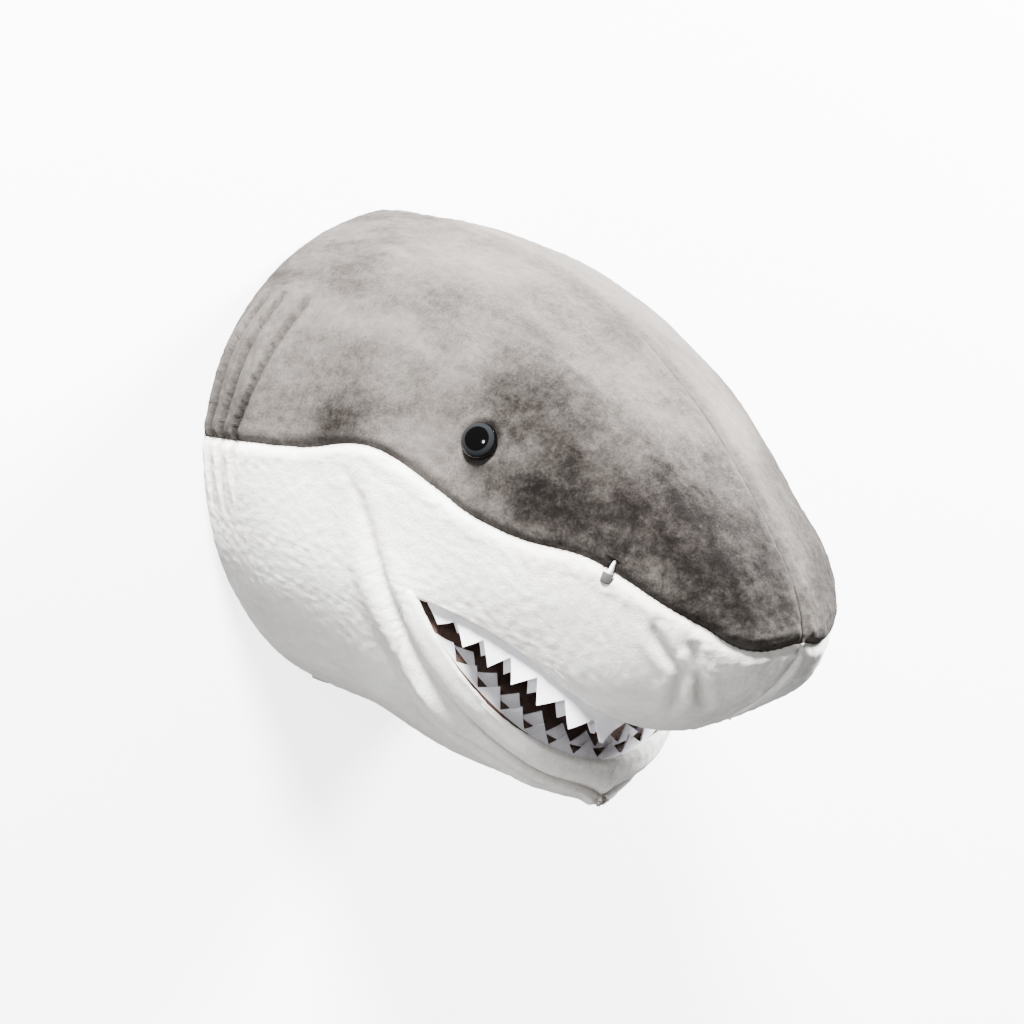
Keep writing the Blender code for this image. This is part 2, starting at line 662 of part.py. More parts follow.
def teeth_strip(name, upper, inward, band, phase, tooth):
    """Felt strip with a zigzag edge, standing on the lip's inner edge.
    Its teeth stand square on the lip, in the upright sheet along it. The upper strips are
    bare and narrow below the snout, where no teeth hang."""
    if upper:
        t = np.linspace(MOUTH_CORNER + 0.02, UPPER_LIP_FRONT - 0.0005, LIP_SAMPLES)
        half = sink(skin, t, upper_lip(t), LIP_DEPTH)
        hang = -1.0
    else:
        bow = np.linspace(0.32, np.pi / 2, LIP_SAMPLES)
        half = sink(jaw, bow, np.full_like(bow, 0.01), LIP_DEPTH)
        hang = 1.0
    half[-1, 0] = 0
    lip = np.concatenate([half, half[-2::-1] * np.array([-1, 1, 1])])
    hinge = skin(MOUTH_CORNER, CORNER_PLACE) * np.array([0, 1, 1])
    inwards = hinge - lip
    inwards /= np.linalg.norm(inwards, axis=1, keepdims=True)
    lip = lip + inwards * inward * MM
    length = np.append(0, np.cumsum(np.linalg.norm(np.diff(lip, axis=0), axis=1)))
    teeth = int(length[-1] / MM / TOOTH_PITCH - phase)
    start = length[-1] / 2 - teeth * TOOTH_PITCH * MM / 2
    marks = start + np.arange(2 * teeth + 1) * TOOTH_PITCH * MM / 2
    foot = np.stack([np.interp(marks, length, lip[:, k]) for k in range(3)], -1)
    run = np.stack([np.interp(marks, length, np.gradient(lip[:, k], length)) for k in range(3)], -1)
    run /= np.linalg.norm(run, axis=1, keepdims=True)
    upright = np.array([0, 0, hang]) - run * (run[:, 2:3] * hang)
    upright /= np.linalg.norm(upright, axis=1, keepdims=True)
    bare = upper * BARE_FRONT - np.abs(marks - length[-1] / 2) / MM
    end = np.minimum(marks, length[-1] - marks) / MM
    grown = CORNER_SHARE + (1 - CORNER_SHARE) * np.clip(end / CORNER_RUN, 0, 1)
    band = band * grown * (1 - BARE_SHRINK * np.clip(bare / BARE_BLEND + 1, 0, 1))
    bm = bmesh.new()
    rows = add_grid(bm, np.stack([foot, foot + upright * band[:, None] * MM]))
    for i in range(1, 2 * teeth, 2):
        if bare[i] > 0:
            continue
        tip = bm.verts.new(tuple(foot[i] + upright[i] * (band[i] + tooth * grown[i]) * MM))
        bm.faces.new((rows[1][i - 1], tip, rows[1][i]))
        bm.faces.new((rows[1][i], tip, rows[1][i + 1]))
    bmesh.ops.recalc_face_normals(bm, faces=bm.faces[:])
    strip = bmesh_object(name, bm, "white_felt")
    sheet = strip.modifiers.new("thickness", "SOLIDIFY")
    sheet.thickness = FELT * MM
    sheet.offset = 0
    return strip


def eye(side, name, washer_name, panel, filling):
    frame = surface_frame(skin, EYE_STATION, EYE_PLACE, side)
    radius = EYE_DIAMETER / 2
    shank = SHANK_DIAMETER / 2
    dome = [(radius * np.sin(a), GAP + EYE_EDGE + (EYE_HEIGHT - EYE_EDGE) * np.cos(a))
            for a in np.linspace(0, np.pi / 2, 9)]
    profile = dome + [(radius, GAP), (shank, GAP), (shank, -SHANK_LENGTH), (0, -SHANK_LENGTH)]
    profile[0] = (0, profile[0][1])
    turned(name, profile, frame, "eye_plastic")
    top = -PLUSH - WASHER_LIFT
    hole = shank + GAP
    outer = WASHER_DIAMETER / 2
    turned(washer_name, [(outer, top), (outer, top - WASHER), (hole, top - WASHER), (hole, top),
                         (outer, top)], frame, "washer_plastic")
    post = turned(name + "_post_hole", [(0, 6), (hole, 6), (hole, -6), (0, -6)], frame, None, CUTTERS)
    cut(panel, post)
    room = outer + 2 * GAP
    pocket = turned(name + "_pocket", [(0, 2), (room, 2), (room, -SHANK_LENGTH - 1),
                                       (0, -SHANK_LENGTH - 1)], frame, None, CUTTERS)
    cut(filling, pocket)


def nostril_tab(side, name):
    frame = surface_frame(skin, NOSTRIL_STATION, NOSTRIL_PLACE, side)
    bm = bmesh.new()
    bmesh.ops.create_cube(bm, size=1.0)
    width, height, thick = NOSTRIL_TAB
    bmesh.ops.scale(bm, vec=(width * MM, height * MM, thick * MM), verts=bm.verts[:])
    lift = (thick / 2 + GAP) * MM
    bmesh.ops.translate(bm, vec=(0, 0, lift), verts=bm.verts[:])
    tab = bmesh_object(name, bm, "grey_felt")
    tab.matrix_world = frame
    edge = tab.modifiers.new("edge", "BEVEL")
    edge.width = 0.2 * MM
    edge.segments = 1


def back_parts():
    board = plate("back_board", rim(PLUSH + 0.8), BOARD_FRONT, BOARD_BACK, "fibreboard")
    wide, tall = WINDOW
    top = RING_UP + RING_REACH + WINDOW_MARGIN
    window = [(-wide / 2, top - tall), (wide / 2, top - tall), (wide / 2, top), (-wide / 2, top)]
    plate("back_felt", rim(BACK_FELT_INSET), BACK_FELT, 0.0, "grey_felt", holes=(window,))
    return board


def hanger(board):
    """Strap with a rolled eye, its D ring hanging down and two screws inside the ring."""
    wire = RING_WIRE / 2
    inner = wire + GAP
    wide, tall, thick = STRAP
    outer = inner + thick
    axis_out = BOARD_BACK - GAP - outer
    profile = strap_profile(inner, outer, tall)
    bm = bmesh.new()
    left = [bm.verts.new((-wide / 2 * MM, y * MM, z * MM)) for y, z in profile]
    bm.faces.new(left)
    raised = bmesh.ops.extrude_face_region(bm, geom=bm.faces[:], use_keep_orig=True)
    moved = [v for v in raised["geom"] if isinstance(v, bmesh.types.BMVert)]
    bmesh.ops.translate(bm, vec=(wide * MM, 0, 0), verts=moved)
    bmesh.ops.triangulate(bm, faces=bm.faces[:])
    bmesh.ops.recalc_face_normals(bm, faces=bm.faces[:])
    strap = bmesh_object("hanger_strap", bm, "zinc_steel")
    strap.location = (0, -axis_out * MM, RING_UP * MM)

    ring = bpy.data.curves.new("hanger_ring", "CURVE")
    ring.dimensions = "3D"
    ring.bevel_depth = wire * MM
    ring.bevel_resolution = 2
    half = RING_WIDTH / 2
    arc = [(half * np.cos(a), half - RING_REACH - half * np.sin(a)) for a in np.linspace(0, np.pi, 17)]
    corners = [(-half + RING_WIRE, 0), (0, 0), (half - RING_WIRE, 0), (half, -RING_WIRE)]
    route = corners + arc + [(-half, -RING_WIRE)]
    spline = ring.splines.new("POLY")
    spline.points.add(len(route) - 1)
    for point, (x, z) in zip(spline.points, route):
        point.co = (x * MM, 0, z * MM, 1)
    spline.use_cyclic_u = True
    guide = bpy.data.objects.new("hanger_ring_route", ring)
    PARTS.objects.link(guide)
    guide.location = (0, -axis_out * MM, RING_UP * MM)
    bpy.context.view_layer.update()
    curve_to_mesh(guide, "hanger_ring", "zinc_steel")

    head_radius, head_height = SCREW_HEAD[0] / 2, SCREW_HEAD[1]
    shank_radius, shank_length = SCREW_SHANK[0] / 2, SCREW_SHANK[1]
    face = BOARD_BACK - GAP - thick
    for number, drop in enumerate(SCREW_DROPS, 1):
        turn = Matrix.Rotation(-np.pi / 2, 4, "X")
        frame = Matrix.Translation((0, -(face - GAP) * MM, (RING_UP - drop) * MM)) @ turn
        name = f"hanger_screw_{number}"
        turned(name, [(0, head_height), (head_radius * 0.7, head_height), (head_radius, 0),
                      (shank_radius, 0), (shank_radius, -shank_length + SCREW_TIP), (0, -shank_length)],
               frame, "zinc_steel", steps=20)
        bore = shank_radius + GAP
        hole = turned(name + "_hole", [(0, 4), (bore, 4), (bore, -shank_length - 1),
                                       (0, -shank_length - 1)], frame, None, CUTTERS, steps=20)
        cut(strap, hole)
        cut(board, hole)


def strap_profile(inner, outer, tall):
    """Outline of the strap's side: y towards the wall (+) and z up, from the ring's axis.
    The strap rises against the board, rolls over the ring's bar and stops below it."""
    lip = -0.54 * np.pi
    roll_out = [(outer * np.cos(a), outer * np.sin(a)) for a in np.linspace(np.pi, lip, 21)]
    roll_in = [(inner * np.cos(a), inner * np.sin(a)) for a in np.linspace(lip, 1.16 * np.pi, 21)]
    return roll_out + roll_in + [(-inner, -outer), (-inner, -tall), (-outer, -tall)]


clear_scene()
PARTS = new_collection("plush_shark_head")
CUTTERS = new_collection("cutters")

BOARD_OBJECT = back_parts()
hanger(BOARD_OBJECT)
neck_fill("neck_fill")
SNOUT = snout_fill("snout_fill")
jaw_fill("jaw_fill")
mouth_roof_lining("mouth_lining_upper")
mouth_floor_lining("mouth_lining_lower")
lip_band("lower_lip_band")
for row in TEETH_ROWS:
    teeth_strip(*row)
for hand, sign in (("left", 1), ("right", -1)):
    crown = crown_panel(sign, f"crown_panel_{hand}")
    side_panel(sign, f"side_panel_{hand}")
    eye(sign, f"eye_{hand}", f"eye_washer_{hand}", crown, SNOUT)
    nostril_tab(sign, f"nostril_tab_{hand}")
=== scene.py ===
"""Looks of a wall-mounted plush shark head, laid out as a Blender add-on.

The head is sewn from grey and white plush, stuffed, and closed by a flat back. Its skin is one
formula: a spine leaves the wall and droops to the nose, and each section has an upper arch
above the spine and a lower arch below it. A place on the skin is a station t along the spine
and a place q round the section: 0 at the crown, 1 at the side, 2 at the bottom. Every sewn
piece is a grid over that formula, raised and sunk by seams, tucks, folds and loose stuffing.

Lengths in the settings are in metres; those of the head's formula are in millimetres.
"""

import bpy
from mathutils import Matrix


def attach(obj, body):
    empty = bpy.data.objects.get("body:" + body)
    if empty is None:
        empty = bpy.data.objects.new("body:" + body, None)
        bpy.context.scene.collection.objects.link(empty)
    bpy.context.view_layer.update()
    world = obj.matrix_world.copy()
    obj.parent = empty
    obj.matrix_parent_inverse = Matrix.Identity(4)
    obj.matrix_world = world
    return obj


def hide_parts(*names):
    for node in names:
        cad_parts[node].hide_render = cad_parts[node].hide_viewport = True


bl_info = {
    "name": "Plush shark head",
    "version": (1, 0, 0),
    "blender": (4, 5, 0),
    "location": "3D View > Sidebar > Plush head",
    "description": "Builds the sewn, stuffed and fitted pieces of a wall-mounted plush shark head",
    "category": "Add Mesh",
}

import bmesh
import bpy
import numpy as np
from bpy.props import FloatProperty, FloatVectorProperty, IntProperty, PointerProperty
from mathutils import Vector

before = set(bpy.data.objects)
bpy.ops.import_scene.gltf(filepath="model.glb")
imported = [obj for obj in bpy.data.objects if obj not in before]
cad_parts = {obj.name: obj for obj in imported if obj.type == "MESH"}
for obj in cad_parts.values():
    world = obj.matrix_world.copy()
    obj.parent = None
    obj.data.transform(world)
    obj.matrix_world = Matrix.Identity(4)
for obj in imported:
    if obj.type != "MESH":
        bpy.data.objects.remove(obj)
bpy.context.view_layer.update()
MM = 0.001
SIDES = (("left", 1), ("right", -1))

# Spine, a quadratic Bezier: distance out from the wall and height, in mm.
SPINE_OUT = (0.0, 147.0, 357.0)
SPINE_UP = (0.0, 0.0, -92.0)
# Cubic Bezier ordinates along the spine, wall to nose, in mm.
CROWN_HEIGHT = (150.0, 149.0, 128.0, 46.0)
HALF_WIDTH = (148.0, 179.0, 90.0, 98.0)
RIDGE = (0.54, 0.0, 0.90)
NOSE_BLUNTNESS = 6.6
CROWN_FULLNESS = 0.72
SPINE_LENGTH = 400.0
NECK_STATIONS = (0.0, 0.25, 0.53, 0.76)
NECK_DEPTH = (155.0, 160.0, 170.0, 166.0)
SNOUT_DEPTH = (71.0, 137.0, 100.0)
SQUARENESS_STATIONS = (0.0, 0.30, 0.53, 0.75, 1.0)
SQUARENESS = (2.0, 2.2, 2.6, 3.3, 3.3)

# Mouth: corner and front of the upper lip along the spine, and the lower lip's bow.
MOUTH_CORNER = 0.53
UPPER_LIP_FRONT = 0.868
CORNER_PLACE = 1.166
LOWER_LIP_HALF_WIDTH = 126.0
LOWER_LIP_OUT = (163.0, 210.0)
LOWER_LIP_UP = (-69.0, -181.0)
# Powers of the sine that bow the lower lip outwards and downwards.
LIP_POWERS = (1.3, 1.35)
LIP_BAND_WIDTH = (17.0, 36.0)
JAW_GIRTH = (26.0, 154.0)
PALATE_RISE = 24.0
FLOOR_DROP = 10.0
# Linings and teeth are sewn this far under the skin of the lips, in mm.
LINING_INSET = 3.4
# Rows of the hem inside the lips, in metres from the rolled edge.
LIP_HEM = (0.0025, 0.006)

# Seam between the grey crown and the white side, as places q along the spine.
SEAM_STATIONS = (0.0, 0.16, 0.29, 0.43, 0.54, 0.61, 0.70, 0.79, 0.86, 0.95, 1.0)
SEAM_PLACES = (0.925, 0.918, 0.893, 0.824, 0.875, 0.918, 0.918, 0.855, 0.875, 1.02, 1.20)

# The skin starts a little off the wall and turns over the board's edge.
RIM_STATION = 0.03
RIM_BACK = 1.8
RIM_ROUND = 5.0
RIM_FLANGE = 18.0
WALL_GAP = 0.0004
# Where grooves meet, the plush sinks no deeper than this, in mm.
DEEPEST = 5.5
# The relief dies away over this distance where the plush turns over the board, in mm.
RIM_FADE = 12.0
# Columns are closer together between the rim and the last gill tuck.
TUCKS_END = 0.19

# Teeth: name, upper jaw, inward from the lip, plain band, phase in pitches and tooth height,
# all in mm.
TEETH_ROWS = (
    ("upper_teeth_outer", True, 2.0, 9.5, 0.0, 13.0),
    ("upper_teeth_inner", True, 10.0, 11.0, 0.5, 13.0),
    ("lower_teeth_outer", False, 3.0, 0.8, 0.0, 10.0),
    ("lower_teeth_inner", False, 10.0, 0.8, 0.5, 9.5),
)
# Each side of the middle the upper strips have no teeth under the snout's front, in mm.
BARE_FRONT = 48.0
BARE_BLEND = 4.0
BARE_SHRINK = 0.75
TOOTH_LEAN = 0.0014
# The strips are lower at the mouth corners: the share left there, and how far they taper.
CORNER_SHARE = 0.40
CORNER_RUN = 48.0
EYE_PLACE = (0.577, 0.654)
LINING_SHEET = 0.0012
# Halves of the lower lip are welded at the middle over this distance, in metres.
MIDDLE_WELD = 2e-4
# A stitch's half length in pitches, and how far it is sunk in the plush, in metres.
STITCH_REACH = 0.42
STITCH_SINK = 0.0002

# Tucks and folds as (station, place) points on the skin.
GILL_TUCKS = (
    ((0.068, 0.44), (0.063, 0.46), (0.047, 0.711), (0.042, 0.90), (0.045, 1.06), (0.050, 1.16)),
    ((0.110, 0.44), (0.105, 0.46), (0.094, 0.722), (0.084, 0.90), (0.088, 1.05), (0.095, 1.14)),
    ((0.172, 0.44), (0.167, 0.46), (0.147, 0.733), (0.131, 0.90), (0.135, 1.04), (0.142, 1.12)),
)
CHEEK_FOLD = ((0.385, 0.90), (0.399, 0.942), (0.445, 1.05), (0.481, 1.138), (0.497, 1.26))
# The cheek fold runs on as the lower lip's seam from this bow. Its points from the first to the
# second number are evened out this many times.
LIP_SEAM_START = 0.20
JOINED_POINTS = (30, 100)
EVENINGS = 160
SNOUT_FOLDS = (
    ((0.885, 1.04), (0.894, 1.103), (0.928, 1.298), (0.918, 1.549), (0.900, 1.66)),
    ((0.925, 1.09), (0.936, 1.143), (0.947, 1.40), (0.944, 1.644), (0.935, 1.72)),
)
THROAT_FOLD = ((0.06, 0.24), (0.137, 0.291), (0.541, 0.407), (0.909, 0.513), (1.05, 0.56))
# Painted light: the whole left panel, which faces the key lamp, is lighter by this.
LEFT_PAINTED_LIGHT = 0.10
# Patches where the grey pile is lighter or darker, partly its own patchy nap and partly
# painted sheen and shade of how the light falls: station, place, radius in mm and strength.
NAP_AND_LIGHT_PATCHES = (
    (0.06, 0.60, 34.0, 0.07), (0.30, 0.20, 52.0, 0.06), (0.36, 0.77, 27.0, -0.15),
    (0.36, 0.52, 30.0, 0.05), (0.20, 0.30, 18.0, -0.08), (0.48, 0.74, 20.0, 0.05),
    (0.60, 0.40, 34.0, -0.10), (0.66, 0.78, 36.0, -0.12), (0.76, 0.60, 48.0, -0.15),
    (0.84, 0.28, 40.0, -0.13), (0.92, 0.70, 46.0, -0.14), (0.95, 0.25, 32.0, -0.12),
    (0.60, 0.03, 16.0, -0.07), (0.75, 0.08, 18.0, 0.08),
)
NOSTRIL = ((0.817, 0.895), (0.8165, 0.845), (0.816, 0.775))

# Lamps: name, place, target, diameter in metres, power in watts and whether gloss shows it.
LAMPS = (
    ("softbox_key", (2.1, -0.7, 1.5), (0.0, -0.15, 0.0), 0.9, 820.0, True),
    ("softbox_top", (-1.1, -0.8, 2.3), (0.0, -0.15, 0.0), 0.8, 980.0, False),
    ("softbox_front", (-2.0, -1.6, 0.9), (0.0, -0.15, 0.0), 0.42, 24.0, True),
    ("softbox_back", (0.9, 1.9, 0.9), (0.0, 0.0, 0.0), 1.0, 130.0, True),
    ("softbox_low", (-0.9, -0.25, -0.9), (0.0, -0.08, -0.1), 0.7, 11.0, False),
)
SKY_STRENGTH = 0.22
WALL_GLOW = 3.6
# The wall stands this far behind the head's flat back, in metres.
WALL_BACK = 0.0006
FLOOR_LEVEL = -1.50
CAMERA_PLACE = (-1.4226, -1.5452, 0.1770)
CAMERA_TARGET = (-0.0161, -0.1387, -0.0321)
FOCAL_LENGTH = 115.3


# ---------------------------------------------------------------- settings

def linear(hex_colour):
    """Linear red, green and blue of an sRGB hex colour."""
    value = np.array([int(hex_colour[i:i + 2], 16) for i in (1, 3, 5)]) / 255
    return tuple(np.where(value <= 0.04045, value / 12.92, ((value + 0.055) / 1.055) ** 2.4))


def length(name, about, default):
    return FloatProperty(name=name, description=about, default=default, min=0.0,
                         subtype="DISTANCE", unit="LENGTH", precision=4)


def colour(name, about, hex_colour):
    return FloatVectorProperty(name=name, description=about, default=linear(hex_colour),
                               subtype="COLOR", size=3, min=0.0, max=1.0)


class PlushSizes(bpy.types.PropertyGroup):
    sheet: length("Plush sheet", "Thickness of the plush's backing and pile", 0.0022)
    seam_depth: length("Seam depth", "How far a seam pulls the plush in", 0.0024)
    seam_width: length("Seam width", "Half width of the groove along a seam", 0.0030)
    tuck_height: length("Gill tuck height", "How far a gill tuck stands up", 0.0040)
    cheek_depth: length("Cheek fold depth", "Depth of the fold behind the mouth", 0.0050)
    lip_swell: length("Lip swell", "How far the lower lip swells over its seam", 0.0042)
    lip_roll: length("Lip roll", "Radius of the plush edge turned into the mouth", 0.0017)
    eye_pull: length("Eye pull", "How far the eye's washer pulls the plush in", 0.0036)
    stuffing_lumps: length("Stuffing lumps", "Height of the loose lumps in the stuffing", 0.0013)
    pile_clumps: length("Pile clumps", "Height of the clumps in the pile", 0.00018)
    stitch_pitch: length("Stitch pitch", "Distance from stitch to stitch", 0.0044)
    thread: length("Thread", "Diameter of the sewing thread", 0.0006)


class FittingSizes(bpy.types.PropertyGroup):
    eye_diameter: length("Eye diameter", "Width of the moulded eye", 0.022)
    eye_height: length("Eye height", "How far the eye's dome stands up", 0.007)
    tooth_pitch: length("Tooth pitch", "Distance from tooth to tooth", 0.0203)
    felt: length("Felt", "Thickness of the teeth's felt", 0.0012)
    tooth_columns: IntProperty(name="Columns per tooth", default=12, min=4, step=2,
                               description="Grid columns across one tooth, an even number")
    tab_width: length("Nostril tab width", "Width of the dark tab at the nostril", 0.007)
    tab_height: length("Nostril tab height", "Height of the dark tab at the nostril", 0.006)


class HeadColours(bpy.types.PropertyGroup):
    # The grey pile is mixed between these two by random tone and by an attribute that also holds
    # painted sheen, light and shade.
    grey_dark: colour("Grey, brushed down", "Grey pile lying away from the light", "#0F0D0C")
    grey_light: colour("Grey, brushed up", "Grey pile lying towards the light", "#615C58")
    white_shade: colour("White, in the pile", "White pile between its tufts", "#CFCBC5")
    white_light: colour("White, on the tips", "White pile on its tips", "#FBFAF7")
    lining: colour("Mouth lining", "Dark brown lining of the mouth", "#5E4840")
    felt_white: colour("Teeth felt", "White felt of the teeth", "#F4F3F8")
    felt_grey: colour("Dark felt", "Dark grey felt of the back and the nostrils", "#4C4A49")
    iris: colour("Iris", "Dark grey ring of the eye", "#17191A")
    pupil: colour("Pupil", "Nearly black middle of the eye", "#010101")
    # Partly painted shadow: besides the grey stitching, this dark thread stands in for the shadow
    # line along the seam.
    thread_grey: colour("Grey thread", "Thread of the grey seams", "#3D3936")
    board: colour("Fibreboard", "Raw fibreboard of the back", "#A98A68")
    wall: colour("Wall", "Painted wall and floor", "#F6F6F6")


# ---------------------------------------------------------------- head formula

def bezier(ordinates, t):
    """Quadratic or cubic Bezier through its end ordinates."""
    t = np.asarray(t, float)
    if len(ordinates) == 3:
        weights = ((1 - t) ** 2, 2 * t * (1 - t), t ** 2)
    else:
        weights = ((1 - t) ** 3, 3 * t * (1 - t) ** 2, 3 * t ** 2 * (1 - t), t ** 3)
    return sum(w * o for w, o in zip(weights, ordinates))


def through(stations, values, t):
    """Smooth curve through a few stations: cubic Hermite pieces with mean slopes."""
    xs = np.asarray(stations, float)
    ys = np.asarray(values, float)
    slopes = np.gradient(ys, xs)
    t = np.clip(np.asarray(t, float), xs[0], xs[-1])
    i = np.clip(np.searchsorted(xs, t, side="right") - 1, 0, len(xs) - 2)
    h = xs[i + 1] - xs[i]
    s = (t - xs[i]) / h
    return ((2 * s ** 3 - 3 * s ** 2 + 1) * ys[i] + (s ** 3 - 2 * s ** 2 + s) * h * slopes[i]
            + (3 * s ** 2 - 2 * s ** 3) * ys[i + 1] + (s ** 3 - s ** 2) * h * slopes[i + 1])


def spine(t):
    """Point on the spine and the upward direction of the section plane there."""
    t = np.asarray(t, float)
    run_out = 2 * (1 - t) * SPINE_OUT[1] + 2 * t * (SPINE_OUT[2] - SPINE_OUT[1])
    run_up = 2 * (1 - t) * SPINE_UP[1] + 2 * t * (SPINE_UP[2] - SPINE_UP[1])
    run = np.hypot(run_out, run_up)
    return bezier(SPINE_OUT, t), bezier(SPINE_UP, t), -run_up / run, run_out / run


def place(t, x, n):
    """World point in metres of section t, x across and n above the spine."""
    out, up, lean_out, lean_up = spine(t)
    return np.stack(np.broadcast_arrays(x, -(out + n * lean_out), up + n * lean_up), -1) * MM


def closing(t):
    """Factor that rounds the head shut at the nose: the root of 1 - t to a high power."""
    return np.sqrt(np.clip(1 - np.asarray(t, float) ** NOSE_BLUNTNESS, 0, 1))


def half_width(t):
    return bezier(HALF_WIDTH, t) * closing(t)


def depth_below(t):
    """Depth of the lower arch: the neck's as far as the mouth corner, then the snout's."""
    t = np.asarray(t, float)
    s = np.clip((t - MOUTH_CORNER) / (1 - MOUTH_CORNER), 0, 1)
    start = through(NECK_STATIONS, NECK_DEPTH, MOUTH_CORNER) / closing(MOUTH_CORNER)
    snout = bezier((start, *SNOUT_DEPTH), s) * closing(t)
    return np.where(t <= MOUTH_CORNER, through(NECK_STATIONS, NECK_DEPTH, t), snout)


def upper_arch(t, q):
    """Across: half width times a power of the sine. Up: a blend of a cosine and a gable."""
    angle = np.clip(q, 0, 1) * np.pi / 2
    ridge = bezier(RIDGE, t)
    x = half_width(t) * np.sin(angle) ** CROWN_FULLNESS
    n = (1 - ridge) * np.cos(angle) + ridge * (1 - 2 * angle / np.pi)
    return x, n * bezier(CROWN_HEIGHT, t) * closing(t)


def lower_arch(t, q, width, depth):
    """Superellipse whose squareness grows along the head."""
    dip = np.sin((np.clip(q, 1, 2) - 1) * np.pi / 2)
    power = through(SQUARENESS_STATIONS, SQUARENESS, t)
    return width * np.sqrt(np.clip(1 - dip ** power, 0, 1)), -depth * dip


def skin(t, q):
    """Outer surface of the neck and the upper head, on the +X side."""
    upper_x, upper_n = upper_arch(t, q)
    lower_x, lower_n = lower_arch(t, q, half_width(t), depth_below(t))
    above = np.asarray(q) <= 1
    return place(t, np.where(above, upper_x, lower_x), np.where(above, upper_n, lower_n))


def lower_lip(bow):
    """Lower lip's outer edge: across, out and up, for bow 0 at one corner to pi at the other."""
    sweep = np.sin(bow)
    out, up = (start + (stop - start) * np.sign(sweep) * np.abs(sweep) ** power
               for (start, stop), power in zip((LOWER_LIP_OUT, LOWER_LIP_UP), LIP_POWERS))
    return LOWER_LIP_HALF_WIDTH * np.cos(bow), out, up


def station_of(out, up):
    """Station whose section plane passes through a point, by Newton steps."""
    t = np.full(np.shape(out), 0.6)
    for _ in range(8):
        o, u, lean_out, lean_up = spine(t)
        t = t + ((out - o) * lean_up - (up - u) * lean_out) / SPINE_LENGTH
    return t


def jaw_section(bow):
    """Station of the lip there, its section's half width and depth, and the lip's place."""
    x, out, up = lower_lip(bow)
    t = station_of(out, up)
    o, u, lean_out, lean_up = spine(t)
    depth = through(NECK_STATIONS, NECK_DEPTH, t)
    dip = np.clip(-((out - o) * lean_out + (up - u) * lean_up) / depth, 0, 0.999)
    width = x / np.sqrt(1 - dip ** through(SQUARENESS_STATIONS, SQUARENESS, t))
    return t, width, depth, 1 + np.arcsin(dip) / (np.pi / 2)


def jaw(bow, r):
    """Outer surface of the lower jaw: r is 0 at the lip and 1 at the middle of the throat."""
    t, width, depth, lip_place = jaw_section(bow)
    return place(t, *lower_arch(t, lip_place + (2 - lip_place) * r, width, depth))


def seam(t):
    return through(SEAM_STATIONS, SEAM_PLACES, t)


def upper_lip(t):
    s = np.clip((t - MOUTH_CORNER) / (UPPER_LIP_FRONT - MOUTH_CORNER), 0, 1)
    return CORNER_PLACE + 0.30 * s + (2 - CORNER_PLACE - 0.30) * s ** 6


def band_edge(bow):
    """Where the lip band's lower edge runs, as a share r of the way down the jaw."""
    wider = np.sin(2 * bow) ** 2
    width = LIP_BAND_WIDTH[0] + (LIP_BAND_WIDTH[1] - LIP_BAND_WIDTH[0]) * wider
    return width / (JAW_GIRTH[0] + JAW_GIRTH[1] * np.abs(np.cos(bow)))


def normal_of(surface, u, v, step=1e-3):
    """Unit normal of a surface, from small steps either way."""
    along_u = surface(u + step, v) - surface(u - step, v)
    along_v = surface(u, v + step) - surface(u, v - step)
    return unit(np.cross(along_u, along_v))


def sink(surface, u, v, depth):
    """Points of a surface moved inward along its normal by a depth in mm."""
    return surface(u, v) - normal_of(surface, u, v) * depth * MM


def unit(vectors):
    return vectors / np.maximum(np.linalg.norm(vectors, axis=-1, keepdims=True), 1e-12)


def lining(edge, share, lift, corner, front):
    """Straight across from lip to lip, a share of the way out to each, then moved by a lift in
    mm square to the plane through the corner and the front of that jaw's lips."""
    slope = unit((front - corner) * np.array([0, 1, 1]))
    ones = np.ones_like(share)
    upright = np.array([0, slope[2], -slope[1]])
    return edge * np.stack([share, ones, ones], -1) + lift[..., None] * upright * MM


def palate(t, share, lift):
    """Mouth roof, bulged up off the plane of the lips."""
    s = np.clip((t - MOUTH_CORNER) / (UPPER_LIP_FRONT - MOUTH_CORNER), 0, 1)
    rise = PALATE_RISE * 4 * s * (1 - s) * (1 - share ** 2) ** 2 + lift
    return lining(sink(skin, t, upper_lip(t), LINING_INSET), share, rise,
                  skin(MOUTH_CORNER, CORNER_PLACE), skin(UPPER_LIP_FRONT, 2.0))


def mouth_floor(bow, share, drop):
    """Mouth floor, dipped below the plane of the lips."""
    dip = FLOOR_DROP * np.sin(2 * bow) * (1 - share ** 2) ** 2 + drop
    return lining(sink(jaw, bow, np.full_like(bow, 0.01), LINING_INSET), share, -dip,
                  jaw(0.0, 0.0), jaw(np.pi / 2, 0.0))


# ---------------------------------------------------------------- grids and meshes

def crowded(count, ends=0.55):
    """Even steps from 0 to 1, drawn closer together towards both ends."""
    s = np.linspace(0, 1, count)
    return s - ends * np.sin(2 * np.pi * s) / (2 * np.pi)


def head_columns(first, last, count):
    """Stations from wall to nose, close together where the head rounds shut."""
    start, stop = np.arcsin([first, last]) / (np.pi / 2)
    return np.sin(np.linspace(start, stop, count) * np.pi / 2)


def between(low, high, share):
    """Grid of places between two edges, one row of shares at each station."""
    return low[:, None] + (high - low)[:, None] * share[None, :]


def spread(values, grid):
    return values[:, None] * np.ones_like(grid)


def rim_rows(q):
    """Rows of the plush turned over the board: a quarter round, then a flat flange."""
    edge = skin(np.zeros_like(q), q)[:, [0, 2]] / MM
    reach = np.linalg.norm(edge, axis=1, keepdims=True)
    turn = np.linspace(0, np.pi / 2, 5)
    inset = np.append(RIM_ROUND * (1 - np.cos(turn)), (9.0, 13.5, RIM_FLANGE))
    out = np.append(RIM_BACK + RIM_ROUND * (1 - np.sin(turn)), (RIM_BACK,) * 3)
    rows = []
    for step, distance in zip(inset[::-1], out[::-1]):
        flat = edge * (reach - step) / reach
        rows.append(np.stack([flat[:, 0], np.full(len(q), -distance), flat[:, 1]], -1) * MM)
    return np.stack(rows)


